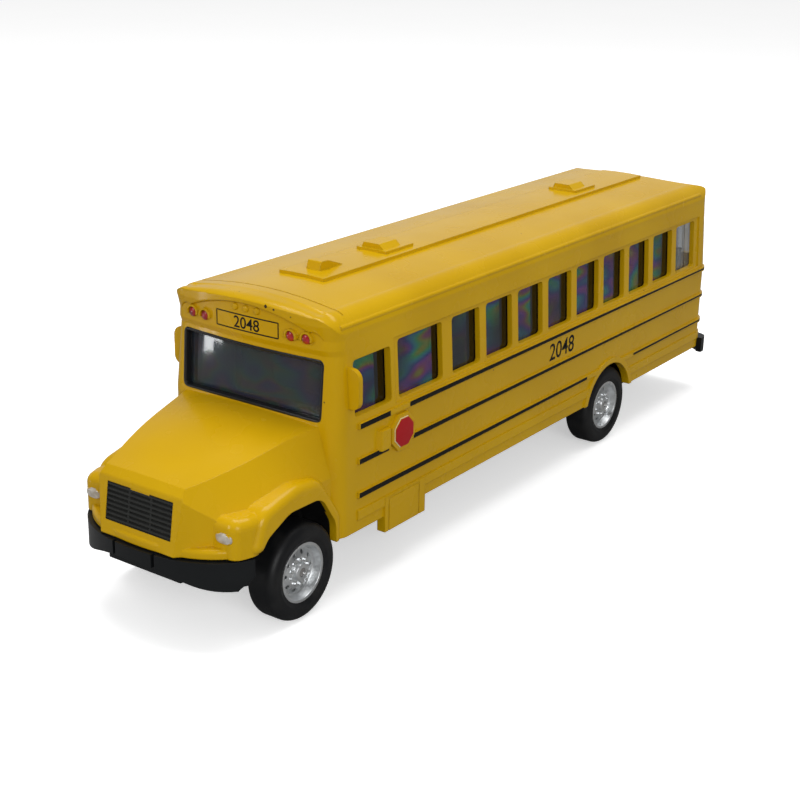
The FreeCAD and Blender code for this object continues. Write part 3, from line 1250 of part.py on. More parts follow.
def make_rim():
    """Left rim about its own axis: dished face, hand holes, wheel nuts and hub tube."""
    back = 0.6 - TYRE_W
    bore = AXLE_R + FIT_GAP
    face = -RIM_SET_BACK
    corners = [(face, TYRE_SEAT_R), (face, 5.95, 0.15), (-2.7, 5.2, 0.4), (-2.2, 4.7, 0.3), (-1.5, 3.2, 0.6),
               (-1.5, 2.1, 0.2), (-0.7, 1.8, 0.3), (-0.6, bore), (back, bore), (back, 2.2), (-3.2, 2.2),
               (-3.9, 5.3), (back, 5.4), (back, TYRE_SEAT_R), (-5.25, TYRE_SEAT_R), (-5.25, TYRE_RIB_R),
               (-2.15, TYRE_RIB_R), (-2.15, TYRE_SEAT_R)]
    rim = turned(corners)
    holes = []
    nuts = []
    for k in range(SPOKE_HOLES):
        turn = 2 * math.pi * k / SPOKE_HOLES
        x, z = HOLE_CIRCLE_R * math.cos(turn), HOLE_CIRCLE_R * math.sin(turn)
        holes.append(rod(HOLE_R, V(x, -8, z), V(x, 2, z)))
        turn += math.pi / SPOKE_HOLES
        x, z = NUT_CIRCLE_R * math.cos(turn), NUT_CIRCLE_R * math.sin(turn)
        hexagon = [(x + NUT_R * math.cos(math.pi / 3 * i), z + NUT_R * math.sin(math.pi / 3 * i))
                   for i in range(6)]
        nuts.append(prism(hexagon, on_xz(-2.4), V(0, 1.4, 0)))
    return joined([rim] + nuts).cut(holes)


def at_wheel(shape, x, side):
    """Copy of a left wheel piece at an axle, on the side +1 or -1."""
    piece = shape.copy()
    piece.translate(V(x, WHEEL_FACE_Y, AXLE_Z))
    return piece if side > 0 else mirrored(piece)


def make_axle(x):
    """Steel wire axle that ends inside the rims' hub caps."""
    end = WHEEL_FACE_Y - 0.9
    return rod(AXLE_R, V(x, -end, AXLE_Z), V(x, end, AXLE_Z))


# ---------------------------------------------------------------- fasteners

def screw(x, y, head_z, tip_z, shank_r):
    """Pan-head screw driven upwards, with a cross slot."""
    head = rod(SCREW_HEAD_R, V(x, y, head_z), V(x, y, head_z + SCREW_HEAD_H))
    shank = rod(shank_r, V(x, y, head_z), V(x, y, tip_z))
    slots = [slab((x - 1.2, x + 1.2), (y - 0.2, y + 0.2), (head_z - 1, head_z + 0.5)),
             slab((x - 0.2, x + 0.2), (y - 1.2, y + 1.2), (head_z - 1, head_z + 0.5))]
    return head.fuse(shank).cut(slots)


def make_chassis_screws():
    """The two screws that hold the base to the shell's posts."""
    head_z = PLATE_Z[0] - FRAME_RAIL_H
    return [screw(x, 0, head_z, PLATE_Z[1] + SCREW_BITE, SCREW_R - FIT_GAP)
            for x in (FRONT_POST_X, REAR_POST_X)]


def make_motor_screws():
    """Four small screws that hold the motor's tabs on the base plate, heads up."""
    top_z = PLATE_Z[1] + TAB_T
    screws = []
    for x in TAB_XS:
        for y in (-TAB_SCREW_Y, TAB_SCREW_Y):
            head = rod(1.4, V(x, y, top_z), V(x, y, top_z + 0.8))
            shank = rod(SCREW_R - 0.08, V(x, y, PLATE_Z[0] + 0.6), V(x, y, top_z))
            screws.append(head.fuse(shank))
    return screws


# ---------------------------------------------------------------- all nodes

def build():
    """Every node's solid by name."""
    tyre = make_tyre()
    rim = make_rim()
    nodes = {
        "body_shell": make_body_shell(),
        "window_glazing": make_window_glazing(),
        "entry_door": make_entry_door(),
        "door_glazing": make_door_glazing(),
        "interior_seats": make_interior_seats(),
        "chassis_base": make_chassis_base(),
        "front_axle": make_axle(FRONT_AXLE_X),
        "rear_axle": make_axle(REAR_AXLE_X),
        "motor_case_left": case_half(1),
        "motor_case_right": case_half(-1),
        "axle_pinion": gear(PINION_TEETH, AXLE_AT, FIRST_MESH_Y, COMPOUND_ANGLE, AXLE_R + FIT_GAP),
        "compound_gear": make_compound_gear(),
        "compound_shaft": shaft(COMPOUND_AT),
        "spring_drum": make_spring_drum(),
        "drum_shaft": shaft(DRUM_AT),
        "mainspring": make_mainspring(),
        "chassis_screws": Part.makeCompound(make_chassis_screws()),
        "motor_screws": Part.makeCompound(make_motor_screws()),
    }
    for end, x in (("front", FRONT_AXLE_X), ("rear", REAR_AXLE_X)):
        for name, side in (("left", 1), ("right", -1)):
            nodes[end + "_" + name + "_tyre"] = at_wheel(tyre, x, side)
            nodes[end + "_" + name + "_rim"] = at_wheel(rim, x, side)
    return nodes


os.makedirs("parts", exist_ok=True)
for name, shape in build().items():
    shape.exportStep("parts/" + name + ".step")
    print(name, len(shape.Solids), shape.isValid(), round(shape.Volume, 1))
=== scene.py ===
"""Looks of the toy bus: paints, plastics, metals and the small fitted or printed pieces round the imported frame.

Sizes are in millimetres until a mesh is written, and the frame is the part's own: +X to the front, +Y to the
bus's left, +Z up, origin on the ground.
"""

import logging
import math
from dataclasses import dataclass, field
from enum import Enum
from typing import Callable, Iterable, Sequence

import bmesh
import bpy
import numpy as np
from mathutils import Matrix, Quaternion, Vector


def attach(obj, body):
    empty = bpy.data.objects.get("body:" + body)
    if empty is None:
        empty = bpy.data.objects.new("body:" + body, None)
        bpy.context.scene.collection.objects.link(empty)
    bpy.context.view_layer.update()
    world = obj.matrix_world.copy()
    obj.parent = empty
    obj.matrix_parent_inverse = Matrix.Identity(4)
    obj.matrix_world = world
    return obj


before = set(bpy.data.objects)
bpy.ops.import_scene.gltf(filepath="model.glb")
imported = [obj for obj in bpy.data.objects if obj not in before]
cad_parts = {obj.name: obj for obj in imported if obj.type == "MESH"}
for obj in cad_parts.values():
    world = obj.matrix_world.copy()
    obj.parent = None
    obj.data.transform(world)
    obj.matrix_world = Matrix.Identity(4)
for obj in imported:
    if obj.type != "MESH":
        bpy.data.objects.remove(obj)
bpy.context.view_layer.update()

MM = 0.001
WELD_M = 1e-7                  # points closer than this are one
SLIVER_M = 1e-8                # edges shorter than this are dissolved
DIGIT_SHARE = 0.69             # height of a digit as a share of the font's size
STROKE_GAIN = 0.012            # widening of a digit's strokes as a share of its height
DIGIT_INK = 0.03               # how far printed digits stand out
DOME_RIM = 0.45                # height of a dome's upright rim as a share of the dome
LOG = logging.getLogger("toy_bus")

Point = tuple[float, float, float]
Colour = tuple[float, float, float]
Span = tuple[float, float]
Stops = Sequence[tuple[float, Colour]]
Place = Callable[[np.ndarray, np.ndarray, np.ndarray], np.ndarray]
RailSpan = tuple[float, float | None]


class Side(Enum):
    """Sides of the bus, by the sign of Y."""

    LEFT = 1
    RIGHT = -1

    @property
    def word(self) -> str:
        """Name of the side for piece names."""
        return self.name.lower()


class Facing(Enum):
    """Directions that a flat piece can face."""

    FRONT = "front"
    REAR = "rear"
    LEFT = "left"
    RIGHT = "right"


# ---------------------------------------------------------------- meshes


def surface(name: str, grid: np.ndarray, wrap_rows: bool = False, wrap_columns: bool = True) -> bpy.types.Object:
    """Makes an object whose quads join neighbouring points of a grid.

    Face (i, j) joins points (i, j), (i+1, j), (i+1, j+1) and (i, j+1), with the indices wrapped where asked.
    Rows that shrink to one point become a pole, and every face is turned outwards.

    Args:
        name: name of the object and its mesh.
        grid: points in millimetres, rows by columns by 3.
        wrap_rows: whether the last row joins the first.
        wrap_columns: whether the last column joins the first.

    Returns:
        The object, at the origin.
    """
    rows, columns = grid.shape[:2]
    index = np.arange(rows * columns).reshape(rows, columns)
    if wrap_rows:
        index = np.vstack([index, index[:1]])
    if wrap_columns:
        index = np.hstack([index, index[:, :1]])
    quads = np.stack([index[:-1, :-1], index[1:, :-1], index[1:, 1:], index[:-1, 1:]], axis=-1).reshape(-1, 4)
    mesh = bpy.data.meshes.new(name)
    mesh.from_pydata((grid.reshape(-1, 3) * MM).tolist(), [], quads.tolist())
    return finished(name, mesh)


def finished(name: str, mesh: bpy.types.Mesh, smooth_below: float = 35.0) -> bpy.types.Object:
    """Welds a mesh, turns its faces outwards and shades it smooth except at sharp edges.

    Args:
        name: name of the object.
        mesh: the mesh, in metres.
        smooth_below: angle in degrees below which an edge is shaded smooth.

    Returns:
        The object, linked to the scene.
    """
    shape = bmesh.new()
    shape.from_mesh(mesh)
    bmesh.ops.remove_doubles(shape, verts=shape.verts, dist=WELD_M)
    bmesh.ops.dissolve_degenerate(shape, edges=shape.edges, dist=SLIVER_M)
    bmesh.ops.recalc_face_normals(shape, faces=shape.faces)
    limit = math.radians(smooth_below)
    for face in shape.faces:
        face.smooth = True
    for edge in shape.edges:
        edge.smooth = not edge.is_manifold or edge.calc_face_angle(0.0) < limit
    shape.to_mesh(mesh)
    shape.free()
    made = bpy.data.objects.new(name, mesh)
    bpy.context.scene.collection.objects.link(made)
    return made


def facing(where: Facing, origin: Point, bend: Callable[[np.ndarray], np.ndarray] | None = None) -> Place:
    """Gives the map from a flat drawing to the bus.

    A drawing point (a, b) and a height h above the drawing go to origin + a*right + b*up + h*out, as a person
    who looks at that face of the bus would draw it. bend moves a point along out by a function of its sideways
    place on the bus.

    Args:
        where: the face of the bus.
        origin: the drawing's (0, 0), in millimetres.
        bend: shift along out by the sideways place, or None.

    Returns:
        A function of arrays a, b and h that gives points.
    """
    right, out = {
        Facing.FRONT: ((0, 1, 0), (1, 0, 0)),
        Facing.REAR: ((0, -1, 0), (-1, 0, 0)),
        Facing.LEFT: ((-1, 0, 0), (0, 1, 0)),
        Facing.RIGHT: ((1, 0, 0), (0, -1, 0)),
    }[where]
    right_v, out_v, up_v = np.array(right, float), np.array(out, float), np.array((0.0, 0.0, 1.0))

    def place(a: np.ndarray, b: np.ndarray, h: np.ndarray) -> np.ndarray:
        """Puts drawing points on the bus.

        Args:
            a: their places to the right.
            b: their places upwards.
            h: their heights above the drawing.

        Returns:
            Points in millimetres.
        """
        points = np.array(origin) + a[..., None] * right_v + b[..., None] * up_v + h[..., None] * out_v
        if bend is not None:
            points = points + bend(points[..., 1])[..., None] * out_v
        return points

    return place


def patch(name: str, outline: np.ndarray, profile: Sequence[tuple[float, float]], place: Place) -> bpy.types.Object:
    """Makes a dome, button or plate over a star-shaped outline.

    Row i is the outline scaled about its middle by profile[i][0] and lifted by profile[i][1].

    Args:
        name: name of the piece.
        outline: closed outline about (0, 0), columns by 2.
        profile: (scale, height) pairs from the middle of the back to the middle of the front.
        place: map from the drawing to the bus.

    Returns:
        The object.
    """
    steps = np.array(profile, float)
    a = steps[:, :1] * outline[None, :, 0]
    b = steps[:, :1] * outline[None, :, 1]
    h = np.repeat(steps[:, 1:], outline.shape[0], axis=1)
    return surface(name, place(a, b, h))


def swept(path: np.ndarray, profile: np.ndarray, out: np.ndarray, closed: bool) -> np.ndarray:
    """Carries a closed section along a path.

    At path point p with tangent t and outward direction n, section point (s, h) goes to p + s*(n x t) + h*n.
    An open path's ends are closed by rows that shrink to one point.

    Args:
        path: points of the path, n by 3.
        profile: section points (s, h), m by 2.
        out: outward direction at each path point, n by 3.
        closed: whether the path comes back to its start.

    Returns:
        Grid of points, rows along the path and columns round the section.
    """
    if closed:
        tangent = np.roll(path, -1, axis=0) - np.roll(path, 1, axis=0)
    else:
        tangent = np.gradient(path, axis=0)
    tangent /= np.linalg.norm(tangent, axis=1, keepdims=True)
    across = np.cross(out, tangent)
    across /= np.linalg.norm(across, axis=1, keepdims=True)
    grid = path[:, None] + profile[None, :, :1] * across[:, None] + profile[None, :, 1:] * out[:, None]
    if closed:
        return grid
    start = np.repeat(grid[:1].mean(axis=1, keepdims=True), grid.shape[1], axis=1)
    end = np.repeat(grid[-1:].mean(axis=1, keepdims=True), grid.shape[1], axis=1)
    return np.concatenate([start, grid, end])


def ellipse(half_a: float, half_b: float, power: float = 2.0, count: int = 48) -> np.ndarray:
    """Outline |a/half_a|^power + |b/half_b|^power = 1, an ellipse at power 2 and squarer above it.

    Args:
        half_a: half width.
        half_b: half height.
        power: exponent of the outline.
        count: number of points.

    Returns:
        Closed outline, count by 2.
    """
    turn = np.linspace(0, 2 * np.pi, count, endpoint=False)
    cos, sin = np.cos(turn), np.sin(turn)
    return np.stack([
        half_a * np.sign(cos) * np.abs(cos) ** (2 / power),
        half_b * np.sign(sin) * np.abs(sin) ** (2 / power),
    ], axis=1)


def polygon(radius: float, corners: int, per_side: int = 6) -> np.ndarray:
    """Regular polygon with a flat side at the top: r = R cos(pi/n) / cos(turn within a side).

    Args:
        radius: distance of the corners from the middle.
        corners: number of corners.
        per_side: points on each side.

    Returns:
        Closed outline, corners * per_side by 2.
    """
    turn = np.linspace(0, 2 * np.pi, corners * per_side, endpoint=False)
    half = np.pi / corners
    r = radius * np.cos(half) / np.cos(np.mod(turn, 2 * half) - half)
    turn = turn + np.pi / 2 - half
    return np.stack([r * np.cos(turn), r * np.sin(turn)], axis=1)


def rounded_box(half_a: float, half_b: float, radius: float, per_corner: int = 8, per_side: int = 12) -> np.ndarray:
    """Rounded rectangle, anticlockwise: four quarter circles joined by evenly divided sides.

    Args:
        half_a: half width.
        half_b: half height.
        radius: corner radius.
        per_corner: points on each corner.
        per_side: points inside each side.

    Returns:
        Closed outline, n by 2.
    """
    points = []
    for quarter, (sa, sb) in enumerate(((1, 1), (-1, 1), (-1, -1), (1, -1))):
        turn = np.linspace(quarter, quarter + 1, per_corner) * np.pi / 2
        centre = np.array([sa * (half_a - radius), sb * (half_b - radius)])
        points.append(centre + radius * np.stack([np.cos(turn), np.sin(turn)], axis=1))
    joined = []
    for k, corner in enumerate(points):
        following = points[(k + 1) % len(points)]
        share = np.linspace(0, 1, per_side + 2)[1:-1, None]
        joined += [corner, corner[-1] * (1 - share) + following[0] * share]
    return np.concatenate(joined)


DOME = [(0.0, 0.0), (1.0, 0.0)] + [
    (math.cos(t), DOME_RIM + (1 - DOME_RIM) * math.sin(t)) for t in np.linspace(0, math.pi / 2, 8)
]


def dome(height: float, depth: float = 0.1) -> list[tuple[float, float]]:
    """Profile of a lens: a short upright rim and an elliptic crown, from depth below the face to height above it."""
    return [(s, -depth + h * (height + depth)) for s, h in DOME]


def plate(thickness: float, round_off: float = 0.3) -> list[tuple[float, float]]:
    """Profile of a thin plate whose edge is rounded off over a share of its thickness."""
    high = thickness * (1 - round_off)
    return [(0.0, -thickness), (1.0, -thickness), (1.0, high), (0.97, thickness), (0.0, thickness)]


def number(name: str, digits: str, height: float, place: Place) -> bpy.types.Object:
    """Makes plain digits as a thin raised print, centred on the drawing's (0, 0).

    Args:
        name: name of the piece.
        digits: the digits.
        height: their height in millimetres.
        place: map from the drawing to the bus.

    Returns:
        The object.
    """
    text = bpy.data.curves.new(name + "_outline", "FONT")
    text.body = digits
    text.size = height / DIGIT_SHARE
    text.align_x = text.align_y = "CENTER"
    text.extrude = DIGIT_INK
    text.offset = height * STROKE_GAIN
    text.resolution_u = 6
    holder = bpy.data.objects.new(name + "_outline", text)
    bpy.context.scene.collection.objects.link(holder)
    bpy.context.view_layer.update()
    mesh = bpy.data.meshes.new_from_object(holder.evaluated_get(bpy.context.evaluated_depsgraph_get()))
    mesh.name = name
    bpy.data.objects.remove(holder)
    flat = np.empty(len(mesh.vertices) * 3)
    mesh.vertices.foreach_get("co", flat)
    flat = flat.reshape(-1, 3)
    flat[:, :2] -= (flat[:, :2].min(axis=0) + flat[:, :2].max(axis=0)) / 2
    mesh.vertices.foreach_set("co", (place(flat[:, 0], flat[:, 1], flat[:, 2]) * MM).ravel())
    mesh.materials.clear()
    return finished(name, mesh)


# ---------------------------------------------------------------- finishes


def mapped(tree: bpy.types.NodeTree, factor: bpy.types.NodeSocket, given: Span, wanted: Span) -> bpy.types.NodeSocket:
    """Adds a straight map of a factor from one span to another, held beyond it.

    Args:
        tree: node tree of a material or of the world.
        factor: the output to map.
        given: the factor at both ends.
        wanted: the result at both ends.

    Returns:
        The mapped output.
    """
    node = tree.nodes.new("ShaderNodeMapRange")
    tree.links.new(factor, node.inputs["Value"])
    for socket, value in zip(list(node.inputs)[1:5], (*given, *wanted)):
        socket.default_value = value
    return node.outputs["Result"]


def mixed(tree: bpy.types.NodeTree, factor: bpy.types.NodeSocket, a: Colour | bpy.types.NodeSocket,
          b: Colour | bpy.types.NodeSocket) -> bpy.types.NodeSocket:
    """Adds a mix of two colours.

    Args:
        tree: node tree of a material or of the world.
        factor: the output that chooses.
        a: colour or output where the factor is 0.
        b: colour or output where the factor is 1.

    Returns:
        The mixed colour.
    """
    node = tree.nodes.new("ShaderNodeMix")
    node.data_type = "RGBA"
    tree.links.new(factor, node.inputs["Factor"])
    for socket, value in ((node.inputs[6], a), (node.inputs[7], b)):
        if isinstance(value, bpy.types.NodeSocket):
            tree.links.new(value, socket)
        else:
            socket.default_value = (*value, 1.0)
    return node.outputs[2]


class Nodes:
    """Builder of one node-based material."""

    def __init__(self, name: str) -> None:
        """Starts a material with one Principled shader.

        Args:
            name: name of the material.
        """
        self.material = bpy.data.materials.new(name)
        self.material.use_nodes = True
        self.tree = self.material.node_tree
        self.shader = self.tree.nodes["Principled BSDF"]
        self.coordinates = self.tree.nodes.new("ShaderNodeTexCoord").outputs["Object"]

    def set(self, **values: float | Colour) -> None:
        """Sets plain values on the shader's own sockets.

        Args:
            values: numbers or colours by the sockets' names, with underscores for spaces.
        """
        for key, value in values.items():
            socket = self.shader.inputs[key.replace("_", " ")]
            socket.default_value = (*value, 1.0) if isinstance(value, tuple) else value

    def link(self, output: bpy.types.NodeSocket, socket: str) -> None:
        """Joins an output to one of the shader's sockets."""
        self.tree.links.new(output, self.shader.inputs[socket])

    def math(self, operation: str, *inputs: float | bpy.types.NodeSocket) -> bpy.types.NodeSocket:
        """Adds a Math node.

        Args:
            operation: its operation.
            inputs: numbers or outputs, in the node's order.

        Returns:
            Its output.
        """
        node = self.tree.nodes.new("ShaderNodeMath")
        node.operation = operation
        self._fill(node.inputs, inputs)
        return node.outputs[0]

    def vector(self, operation: str, *inputs: Point | bpy.types.NodeSocket) -> bpy.types.Node:
        """Adds a Vector Math node.

        Args:
            operation: its operation.
            inputs: points or outputs, in the node's order.

        Returns:
            The node, because its outputs depend on the operation.
        """
        node = self.tree.nodes.new("ShaderNodeVectorMath")
        node.operation = operation
        self._fill(node.inputs, inputs)
        return node

    def _fill(self, sockets: Sequence[bpy.types.NodeSocket], inputs: Iterable[object]) -> None:
        """Sets or links each input in turn.

        Args:
            sockets: the node's inputs.
            inputs: plain values or outputs for them.
        """
        for socket, value in zip(sockets, inputs):
            if isinstance(value, bpy.types.NodeSocket):
                self.tree.links.new(value, socket)
            else:
                socket.default_value = value

    def noise(self, size_mm: float, detail: float = 2.0, stretch: Point = (1, 1, 1)) -> bpy.types.NodeSocket:
        """Adds a noise from 0 to 1.

        Args:
            size_mm: about how wide its features are.
            detail: how many finer layers it has.
            stretch: scale along each axis; below 1 draws the features out.

        Returns:
            Its output.
        """
        mapping = self.tree.nodes.new("ShaderNodeMapping")
        mapping.inputs["Scale"].default_value = stretch
        self.tree.links.new(self.coordinates, mapping.inputs["Vector"])
        node = self.tree.nodes.new("ShaderNodeTexNoise")
        node.inputs["Scale"].default_value = 1 / (size_mm * MM)
        node.inputs["Detail"].default_value = detail
        self.tree.links.new(mapping.outputs["Vector"], node.inputs["Vector"])
        return node.outputs["Fac"]

    def ramp(self, factor: bpy.types.NodeSocket, stops: Stops) -> bpy.types.NodeSocket:
        """Adds a colour ramp.

        Args:
            factor: the output that runs along the ramp.
            stops: (place, colour) pairs.

        Returns:
            The colour.
        """
        node = self.tree.nodes.new("ShaderNodeValToRGB")
        self.tree.links.new(factor, node.inputs["Fac"])
        elements = node.color_ramp.elements
        while len(elements) < len(stops):
            elements.new(1.0)
        for element, (place, colour) in zip(elements, stops):
            element.position = place
            element.color = (*colour, 1.0)
        return node.outputs["Color"]

    def fade(self, factor: bpy.types.NodeSocket, low: float, high: float,
             at_low: float = 0.0, at_high: float = 1.0) -> bpy.types.NodeSocket:
        """Maps a factor straight from low..high to at_low..at_high, held beyond them."""
        return mapped(self.tree, factor, (low, high), (at_low, at_high))

    def mix(self, factor: bpy.types.NodeSocket, a: Colour | bpy.types.NodeSocket,
            b: Colour | bpy.types.NodeSocket) -> bpy.types.NodeSocket:
        """Gives colour a where the factor is 0 and b where it is 1."""
        return mixed(self.tree, factor, a, b)

    def parts(self, vector: bpy.types.NodeSocket) -> list[bpy.types.NodeSocket]:
        """Splits a vector.

        Args:
            vector: the output to split.

        Returns:
            Its X, Y and Z.
        """
        node = self.tree.nodes.new("ShaderNodeSeparateXYZ")
        self.tree.links.new(vector, node.inputs[0])
        return list(node.outputs)

    def between(self, factor: bpy.types.NodeSocket, low: float, high: float) -> bpy.types.NodeSocket:
        """Gives 1 where a factor lies between low and high, else 0."""
        return self.math("COMPARE", factor, (low + high) / 2, (high - low) / 2)

    def relief(self, height: bpy.types.NodeSocket, depth_mm: float, edge_mm: float = 0.0) -> None:
        """Joins a bump to the shader.

        Args:
            height: the relief, from 0 to 1.
            depth_mm: its depth.
            edge_mm: radius by which edges are shaded as rounded, or 0 for none.
        """
        bump = self.tree.nodes.new("ShaderNodeBump")
        bump.inputs["Strength"].default_value = 1.0
        bump.inputs["Distance"].default_value = depth_mm * MM
        self.tree.links.new(height, bump.inputs["Height"])
        if edge_mm > 0:
            bevel = self.tree.nodes.new("ShaderNodeBevel")
            bevel.samples = 4
            bevel.inputs["Radius"].default_value = edge_mm * MM
            self.tree.links.new(bevel.outputs["Normal"], bump.inputs["Normal"])
        self.link(bump.outputs["Normal"], "Normal")

    def inside_box(self, low: Point, high: Point) -> bpy.types.NodeSocket:
        """Tells where a point is inside a box: the largest part of |p - centre| - half is below 0.

        Args:
            low: the box's low corner in millimetres.
            high: its high corner.

        Returns:
            1 inside, else 0.
        """
        centre = tuple((a + b) / 2 * MM for a, b in zip(low, high))
        half = tuple((b - a) / 2 * MM for a, b in zip(low, high))
        away = self.vector("SUBTRACT", self.coordinates, centre).outputs[0]
        away = self.vector("ABSOLUTE", away).outputs[0]
        away = self.vector("SUBTRACT", away, half).outputs[0]
        x, y, z = self.parts(away)
        widest = self.math("MAXIMUM", self.math("MAXIMUM", x, y), z)
        return self.math("LESS_THAN", widest, 0.0)

    def near(self, centre: Point, radius: float, ragged: bpy.types.NodeSocket) -> bpy.types.NodeSocket:
        """Tells where a point is near another, with a ragged edge.

        Args:
            centre: the other point in millimetres.
            radius: the reach in millimetres, on average.
            ragged: noise that makes the edge ragged.

        Returns:
            1 within the reach, else 0.
        """
        offset = self.vector("DISTANCE", self.coordinates, tuple(c * MM for c in centre)).outputs["Value"]
        reach = self.math("MULTIPLY", ragged, 2 * radius * MM)
        return self.math("LESS_THAN", offset, reach)


@dataclass(frozen=True)
class Finish:
    """A finish with its colour and gloss."""

    name: str
    colour: Colour
    roughness: float = 0.4

    def material(self) -> bpy.types.Material:
        """Builds the material on first use.

        Returns:
            The material.
        """
        made = bpy.data.materials.get(self.name)
        if made is None:
            nodes = Nodes(self.name)
            self.build(nodes)
            made = nodes.material
        return made

    def build(self, nodes: Nodes) -> None:
        """Adds the finish's nodes."""
        raise NotImplementedError

    def put_on(self, piece: bpy.types.Object) -> None:
        """Gives the finish to every slot of a piece.

        Args:
            piece: the piece, which gets a slot if it has none.
        """
        if not piece.material_slots:
            piece.data.materials.append(None)
        for slot in piece.material_slots:
            slot.material = self.material()


@dataclass(frozen=True)
class PaintField:
    """Part of a painted casting that has another paint: a box, cut by the plane run * x + rise * z = limit.

    slope holds (run, rise, limit), or zeros for a whole box, and dullness is the least roughness inside.
    """

    low: Point
    high: Point
    colour: Colour
    dullness: float
    slope: Point = (0.0, 0.0, 0.0)


@dataclass(frozen=True)
class Enamel(Finish):
    """Thick glossy enamel over a casting, with slow waves, fine peel, dark specks and painted fields."""

    deep: Colour = (0.0, 0.0, 0.0)
    chip: Colour = (0.05, 0.03, 0.012)
    wave_mm: float = 28.0
    peel_mm: float = 3.0
    peel_depth_mm: float = 0.008
    speck_mm: float = 1.6
    speck_from: float = 0.8
    edge_mm: float = 0.35
    coat: float = 0.14
    coat_blur: float = 0.06
    shine: float = 0.16
    fields: tuple[PaintField, ...] = ()
    chips: tuple[tuple[Point, float], ...] = ()

    def build(self, nodes: Nodes) -> None:
        """Mixes two close shades by slow noise, then the specks, chips and fields.

        Args:
            nodes: builder of the material.
        """
        colour = nodes.ramp(nodes.noise(self.wave_mm), [(0.35, self.deep), (0.65, self.colour)])
        rough = nodes.fade(nodes.noise(self.wave_mm / 3), 0.3, 0.7, self.roughness, self.roughness * 1.35)
        ragged = nodes.noise(self.speck_mm / 3, 3.0)
        speck = nodes.math("GREATER_THAN", nodes.noise(self.speck_mm), self.speck_from)
        colour = nodes.mix(speck, colour, self.chip)
        for centre, radius in self.chips:
            colour = nodes.mix(nodes.near(centre, radius, ragged), colour, self.chip)
        for spot in self.fields:
            inside = nodes.inside_box(spot.low, spot.high)
            if any(spot.slope):
                run, rise, limit = spot.slope
                behind = nodes.vector("DOT_PRODUCT", nodes.coordinates, (run, 0.0, rise)).outputs["Value"]
                inside = nodes.math("MULTIPLY", inside, nodes.math("LESS_THAN", behind, limit * MM))
            colour = nodes.mix(inside, colour, spot.colour)
            rough = nodes.math("MAXIMUM", rough, nodes.math("MULTIPLY", inside, spot.dullness))
        nodes.link(colour, "Base Color")
        nodes.link(rough, "Roughness")
        nodes.set(Coat_Weight=self.coat, Coat_Roughness=self.coat_blur, Specular_IOR_Level=self.shine)
        nodes.relief(nodes.noise(self.peel_mm, 1.0), self.peel_depth_mm, self.edge_mm)


@dataclass(frozen=True)
class MouldedPlastic(Finish):
    """Injection-moulded plastic with a fine spark-eroded grain and faint flow marks."""

    tint: float = 0.75
    grain_mm: float = 0.35
    grain_depth_mm: float = 0.012
    flow_mm: float = 14.0
    flow_stretch: Point = (0.35, 1.0, 1.0)
    edge_mm: float = 0.15
    shine: float = 0.4

    def build(self, nodes: Nodes) -> None:
        """Darkens the colour along slow flow lines and adds the grain.

        Args:
            nodes: builder of the material.
        """
        flow = nodes.noise(self.flow_mm, 3.0, self.flow_stretch)
        shade = tuple(c * self.tint for c in self.colour)
        nodes.link(nodes.ramp(flow, [(0.35, shade), (0.65, self.colour)]), "Base Color")
        nodes.link(nodes.fade(flow, 0.3, 0.7, self.roughness * 0.9, self.roughness * 1.15), "Roughness")
        nodes.set(Specular_IOR_Level=self.shine)
        nodes.relief(nodes.noise(self.grain_mm), self.grain_depth_mm, self.edge_mm)


@dataclass(frozen=True)
class TyreRubber(Finish):
    """Soft black vinyl of the tyres, with dust that gathers in a fine bloom."""

    dust: Colour = (0.016, 0.016, 0.016)
    bloom_mm: float = 5.0
    grain_mm: float = 0.25
    grain_depth_mm: float = 0.006
    edge_mm: float = 0.15
    shine: float = 0.3

    def build(self, nodes: Nodes) -> None:
        """Mixes dust in by noise and adds a fine matt grain.

        Args:
            nodes: builder of the material.
        """
        bloom = nodes.noise(self.bloom_mm, 5.0)
        nodes.link(nodes.ramp(bloom, [(0.45, self.colour), (0.75, self.dust)]), "Base Color")
        nodes.link(nodes.fade(bloom, 0.4, 0.7, self.roughness, self.roughness * 1.25), "Roughness")
        nodes.set(Specular_IOR_Level=self.shine)
        nodes.relief(nodes.noise(self.grain_mm, 3.0), self.grain_depth_mm, self.edge_mm)


@dataclass(frozen=True)
class Metal(Finish):
    """Bare or plated metal with fine marks."""

    mark_mm: float = 0.6
    stretch: Point = (1.0, 1.0, 1.0)
    depth_mm: float = 0.004
    edge_mm: float = 0.08
    dulled: float = 0.82

    def build(self, nodes: Nodes) -> None:
        """Makes full metal whose roughness follows drawn-out marks.

        Args:
            nodes: builder of the material.
        """
        marks = nodes.noise(self.mark_mm, 4.0, self.stretch)
        dull = tuple(c * self.dulled for c in self.colour)
        nodes.link(nodes.ramp(marks, [(0.3, dull), (0.7, self.colour)]), "Base Color")
        nodes.link(nodes.fade(marks, 0.3, 0.7, self.roughness * 0.7, self.roughness * 1.3), "Roughness")
        nodes.set(Metallic=1.0)
        nodes.relief(marks, self.depth_mm, self.edge_mm)


# Painted interference colours of polarised light across one band of strained styrene, back to the first at its end.
RAINBOW: Stops = (
    (0.0, (0.05, 0.09, 0.38)), (0.16, (0.3, 0.09, 0.5)), (0.32, (0.4, 0.12, 0.22)), (0.46, (0.4, 0.4, 0.05)),
    (0.6, (0.07, 0.5, 0.18)), (0.78, (0.07, 0.38, 0.5)), (1.0, (0.05, 0.09, 0.38)),
)


